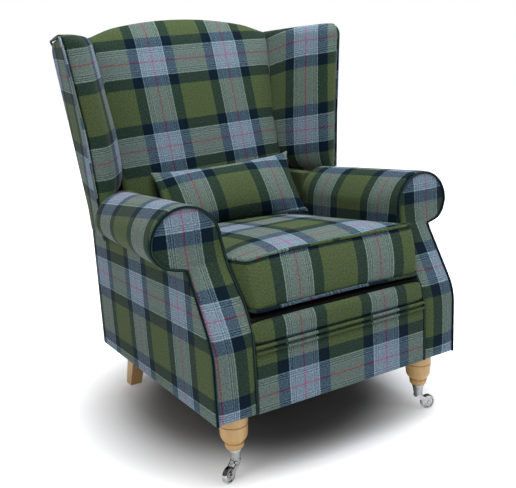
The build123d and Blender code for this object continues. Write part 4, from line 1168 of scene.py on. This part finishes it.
# ---------------------------------------------------------------- dust cover
# Spun black cloth, stapled under the rails when the upholstery is done. It keeps dust from the
# webbing off the floor.
dust_pale, dust_deep = (0.022, 0.022, 0.024), (0.008, 0.008, 0.009)
dust_cloth = spun_cloth("dust_cloth", dust_pale, dust_deep, scale=420.0, depth=0.0005)
finish(dust_cloth, "dust_cover")

# ---------------------------------------------------------------- legs and bolts
# Turned beech at the front, square tapered beech at the back, stained light and lacquered satin.
# Zinc plated bolts hold them to the corner blocks.
beech_pale, beech_deep = (0.56, 0.345, 0.125), (0.445, 0.25, 0.08)
up_leg = (1.0, 1.0, 0.09)
leg_beech = wood("leg_beech", beech_pale, beech_deep, grain=up_leg, roughness=0.42, coat=0.35)
for name, _ in sides:
    finish(leg_beech, f"front_leg_{name}", f"rear_leg_{name}")

zinc, tree, shader = new_material("zinc")
spangle = add(tree, "TexVoronoi", {"Vector": on_piece(tree), "Scale": 700.0})
zinc_deep, zinc_pale = (0.42, 0.43, 0.44), (0.58, 0.58, 0.57)
tone = ramp(tree, spangle.outputs["Distance"], [(0.0, zinc_deep), (1.0, zinc_pale)])
wire(shader, {"Base Color": tone, "Metallic": 1.0, "Roughness": 0.38})
finish(zinc, "leg_bolts")

# ---------------------------------------------------------------- castors
# Plated steel cups pushed on the turned ends of the front legs, with polished forks, axles and
# wheels that have picked up fine scratches.


def plated(name, pale, deep, smooth, worn):
    """Makes a plated metal from a pale and a deep grey, scratched and handled."""
    material, tree, shader = new_material(name)
    place = on_piece(tree)
    handled = noise(tree, place, scale=90.0, detail=5.0)
    tone = ramp(tree, handled, [(0.35, deep), (0.62, pale)])
    scratches = noise(tree, place, scale=520.0, detail=3.0)
    dull = between(tree, scratches, smooth, worn)
    wire(shader, {"Base Color": tone, "Metallic": 1.0, "Roughness": dull})
    raise_by(tree, shader, scratches, depth=0.0002, strength=0.08)
    return material


cup_greys = (0.46, 0.47, 0.47), (0.36, 0.37, 0.37)
fork_greys = (0.60, 0.60, 0.61), (0.44, 0.44, 0.45)
wheel_greys = (0.62, 0.62, 0.62), (0.48, 0.48, 0.48)
cup_plate = plated("cup_plate", *cup_greys, smooth=0.22, worn=0.42)
castor_chrome = plated("castor_chrome", *fork_greys, smooth=0.04, worn=0.16)
wheel_chrome = plated("wheel_chrome", *wheel_greys, smooth=0.06, worn=0.26)
for name, _ in sides:
    finish(cup_plate, f"castor_cup_{name}")
    finish(castor_chrome, f"castor_fork_{name}", f"castor_axle_{name}")
    finish(wheel_chrome, f"castor_wheel_{name}")

# ---------------------------------------------------------------- seat cushion
# A loose box cushion: crowned top, boxing whose front leans with the arm facings, and piping round
# both seams. Its feather-wrapped foam fills the cover more in the middle than at the corners.
slope = math.radians(5.0)
front_slant, rear_slant = math.tan(math.radians(18.0)), math.tan(math.radians(8.5))
cushion_front = (-399.0, 394.29)
cushion_half, cushion_depth, cushion_thick = 239.0, 566.3, 115.0
cushion_low = 3.5
cushion_round, cushion_pull, seam_inset = 11.0, 5.0, 5.0
cushion_crown, cushion_sag, boxing_swell = 17.0, -3.0, 3.0
slump, corner_slump, slump_depth = 17.0, 9.0, 55.0
left_hang, low_hang, right_low_hang = 6.0, 2.5, 4.0
top_place, boxing_place = (88.0, -85.0, 0.0, 0.074), (112.5, 183.9, 0.0144, 0.0)
across_count, deep_count = 49, 57
boxing_shares = (0.04, 0.09, 0.18, 0.3, 0.42, 0.54, 0.66, 0.78, 0.88, 0.95, 0.985)


def near_front(b, h):
    """1 at the front of the cushion at height h, easing to 0 behind it."""
    near = np.clip(1 - (b - h * front_slant) / slump_depth, 0.0, 1.0)
    return near**2 * (3 - 2 * near)


def leaned(x, b, h):
    """Place across of a point once the front of the cushion has slumped to the right."""
    moved = slump * np.clip(h / cushion_thick, 0.0, 1.0)
    return x + (moved + corner_slump * np.clip(-x / 240.0, 0.0, 1.0)) * near_front(b, h)


def on_cushion(x, b, h):
    """Point x across, b back and h up on the sloping cushion, whose front corners hang a little."""
    share = np.clip(h / cushion_thick, 0.0, 1.0)
    hang_low = low_hang + right_low_hang * np.clip((x - 60.0) / 170.0, 0.0, 1.0)
    hang_high = left_hang * np.clip((-x - 120.0) / 120.0, 0.0, 1.0) ** 2
    hang = hang_high * share + hang_low * (1 - share)
    y = cushion_front[0] + b * math.cos(slope) + h * math.sin(slope)
    z = cushion_front[1] - b * math.sin(slope) + h * math.cos(slope) - hang * near_front(b, h)
    return np.stack(np.broadcast_arrays(leaned(x, b, h), y, z), axis=-1)


def cushion_plan(a, b, h, inset):
    """Place across and back at height h of a plan point given as shares of the half sizes."""
    half = cushion_half + 9.0 * h / cushion_thick - inset
    front, rear = h * front_slant + inset, cushion_depth + h * rear_slant - inset
    middle, deep = (front + rear) / 2, (rear - front) / 2
    x, y = a * half, b * deep
    over_x, over_y = np.abs(x) - (half - cushion_round), np.abs(y) - (deep - cushion_round)
    in_corner = (over_x > 0) & (over_y > 0)
    u, v = np.clip(over_x / cushion_round, 0, 1), np.clip(over_y / cushion_round, 0, 1)
    x_round = half - cushion_round + cushion_round * u * np.sqrt(1 - v**2 / 2)
    y_round = deep - cushion_round + cushion_round * v * np.sqrt(1 - u**2 / 2)
    x = np.where(in_corner, np.sign(x) * x_round, x)
    y = np.where(in_corner, np.sign(y) * y_round, y)
    x = x - np.sign(x) * np.abs(a) ** 3 * cushion_pull * np.cos(np.pi * b / 2)
    y = y - np.sign(y) * np.abs(b) ** 3 * cushion_pull * np.cos(np.pi * a / 2)
    return x, middle + y


def cushion_face(height, crown):
    """Adds the top or bottom of the cushion and gives the index of each of its points."""
    x, b = cushion_plan(a_grid, b_grid, height, seam_inset)
    rise = crown * np.sqrt(np.maximum((1 - a_grid**4) * (1 - b_grid**4), 0.0))
    index = len(points) + np.arange(x.size).reshape(x.shape)
    points.extend(on_cushion(x, b, height + rise).reshape(-1, 3))
    patch(index, laid(leaned(x, b, height), b, top_place), faces, corners)
    return index


a_grid, b_grid = np.meshgrid(steps(-1, 1, across_count), steps(-1, 1, deep_count))
points, faces, corners = [], [], []
top_index = cushion_face(cushion_thick, cushion_crown)
bottom_index = cushion_face(cushion_low, cushion_sag)

# the boxing goes once round the edge, from the middle of the front
half_count = across_count // 2
last_a, last_b = across_count - 1, deep_count - 1
edge_walk = (
    [(0, j) for j in range(half_count, last_a)]
    + [(i, last_a) for i in range(last_b)]
    + [(last_b, j) for j in range(last_a, 0, -1)]
    + [(i, 0) for i in range(last_b, 0, -1)]
    + [(0, j) for j in range(half_count + 1)]
)
edge_walk = tuple(np.transpose(edge_walk))
edge_a, edge_b = a_grid[edge_walk], b_grid[edge_walk]
boxing = [(cushion_low, bottom_index[edge_walk])]
for share in boxing_shares:
    height = cushion_low + share * (cushion_thick - cushion_low)
    seam_share = max(0.0, 1 - min(share, 1 - share) * 14.0)
    inset = seam_inset * seam_share + 1.2 - boxing_swell * math.sin(math.pi * share)
    x, b = cushion_plan(edge_a[:-1], edge_b[:-1], height, inset)
    index = len(points) + np.arange(len(x))
    points.extend(on_cushion(x, b, height))
    boxing.append((height, joined(index, index[0])))
boxing.append((cushion_thick, top_index[edge_walk]))
# its cloth is cut in two lengths that meet in the middle of the back
edge_run = lengths(np.column_stack(cushion_plan(edge_a, edge_b, cushion_thick / 2, 0.0)))
past_back = np.arange(len(edge_run)) > len(edge_run) // 2
edge_run = np.where(past_back, edge_run - edge_run[-1], edge_run)
for (low_h, lower), (high_h, upper) in zip(boxing[:-1], boxing[1:]):
    for k in range(len(edge_run) - 1):
        start, end = edge_run[k], edge_run[k + 1]
        if end < start - 100.0:
            # the last face before the join meets the run that comes the other way
            end = start + 10.0
        faces.append((lower[k], lower[k + 1], upper[k + 1], upper[k]))
        ends = [(start, low_h), (end, low_h), (end, high_h), (start, high_h)]
        corners.extend([laid(u, v - cushion_thick, boxing_place) for u, v in ends])
seat_cushion = mesh_piece("seat_cushion_cover", points, faces, corners)
held = np.zeros(len(points))
held[top_index[(np.abs(a_grid) > 0.985) | (np.abs(b_grid) > 0.985)]] = 1.0
held[bottom_index.ravel()] = 1.0
fill_out(seat_cushion, held, pressure=5.0, most=9.0)
smoothed(seat_cushion)
dress(seat_cushion, tartan, "seat_cushion", "tartan", "seat_cushion")

cushion_cuts = {
    "lower": (cushion_low, (navy_strip, 0.0, 0.5)),
    "upper": (cushion_thick, (olive_strip, 60.0, 0.5)),
}
for row, (height, cut) in cushion_cuts.items():
    x, b = cushion_plan(edge_a[:-1], edge_b[:-1], height, 1.5)
    piping(
        f"cushion_piping_{row}",
        evenly(on_cushion(x, b, height), 4.0, ease=2, looped=True),
        (0.0, math.sin(slope), math.cos(slope)),
        cut,
        "seat_cushion",
        "seat_cushion_piping",
        radius=3.6,
        looped=True,
    )

# ---------------------------------------------------------------- scatter cushion
# A small feather cushion with knife edges and four pointed corners, leaning on the back. Its
# corners on the right are pulled out the most.
scatter_half = (210.0, 99.0)
scatter_full, right_ear, left_ear = 50.0, 11.0, 3.0
scatter_x, scatter_y, scatter_lift = 12.0, 126.0, 82.0
scatter_yaw, scatter_lean, scatter_roll = math.radians(-12.0), math.radians(36.0), math.radians(3.5)
scatter_place = (106.4, 134.2, -0.082, 0.021)
seat_run = scatter_y - cushion_front[0]
seat_high = cushion_front[1] - seat_run * math.tan(slope) + 135.0 / math.cos(slope)
scatter_centre = np.array([scatter_x, scatter_y, seat_high + scatter_lift])
flat_right = np.array([math.cos(scatter_yaw), math.sin(scatter_yaw), 0.0])
facing_out = math.cos(scatter_lean) * np.array([math.sin(scatter_yaw), -math.cos(scatter_yaw), 0.0])
facing_out[2] = math.sin(scatter_lean)
flat_up = np.cross(facing_out, flat_right)
scatter_right = math.cos(scatter_roll) * flat_right + math.sin(scatter_roll) * flat_up
scatter_up = math.cos(scatter_roll) * flat_up - math.sin(scatter_roll) * flat_right


def pulled_in(share, other, most):
    """A share of the half size, its edge drawn in between the corners."""
    return share - np.sign(share) * most * np.abs(share) ** 4 * np.cos(np.pi * other / 2)


a_grid, b_grid = np.meshgrid(steps(-1, 1, 53), steps(-1, 1, 27))
ears = np.abs(a_grid * b_grid) ** 9 * np.where(a_grid > 0, right_ear, left_ear)
spread_x = scatter_half[0] * pulled_in(a_grid, b_grid, 0.045) + np.sign(a_grid) * ears
spread_y = scatter_half[1] * pulled_in(b_grid, a_grid, 0.10) + np.sign(b_grid) * ears
plump = ((1 - np.abs(a_grid) ** 2.6) * (1 - np.abs(b_grid) ** 2.2)) ** 0.62 * scatter_full
flat = scatter_centre + spread_x[..., None] * scatter_right + spread_y[..., None] * scatter_up
puffed = plump[..., None] * facing_out
edge = (np.abs(a_grid) > 0.999) | (np.abs(b_grid) > 0.999)
points = [*(flat + puffed).reshape(-1, 3), *(flat - puffed)[~edge]]
front_index = np.arange(a_grid.size).reshape(a_grid.shape)
rear_index = front_index.copy()
rear_index[~edge] = a_grid.size + np.arange((~edge).sum())
spots = laid(spread_x, spread_y, scatter_place)
faces, corners = [], []
patch(front_index, spots, faces, corners)
patch(rear_index[:, ::-1], spots[:, ::-1], faces, corners)
scatter = mesh_piece("scatter_cushion_cover", points, faces, corners)
held = np.zeros(len(points))
held[front_index[edge]] = 0.6
fill_out(scatter, held, pressure=4.0, most=6.0)
smoothed(scatter)
dress(scatter, tartan, "scatter_cushion", "tartan", "scatter_cushion")
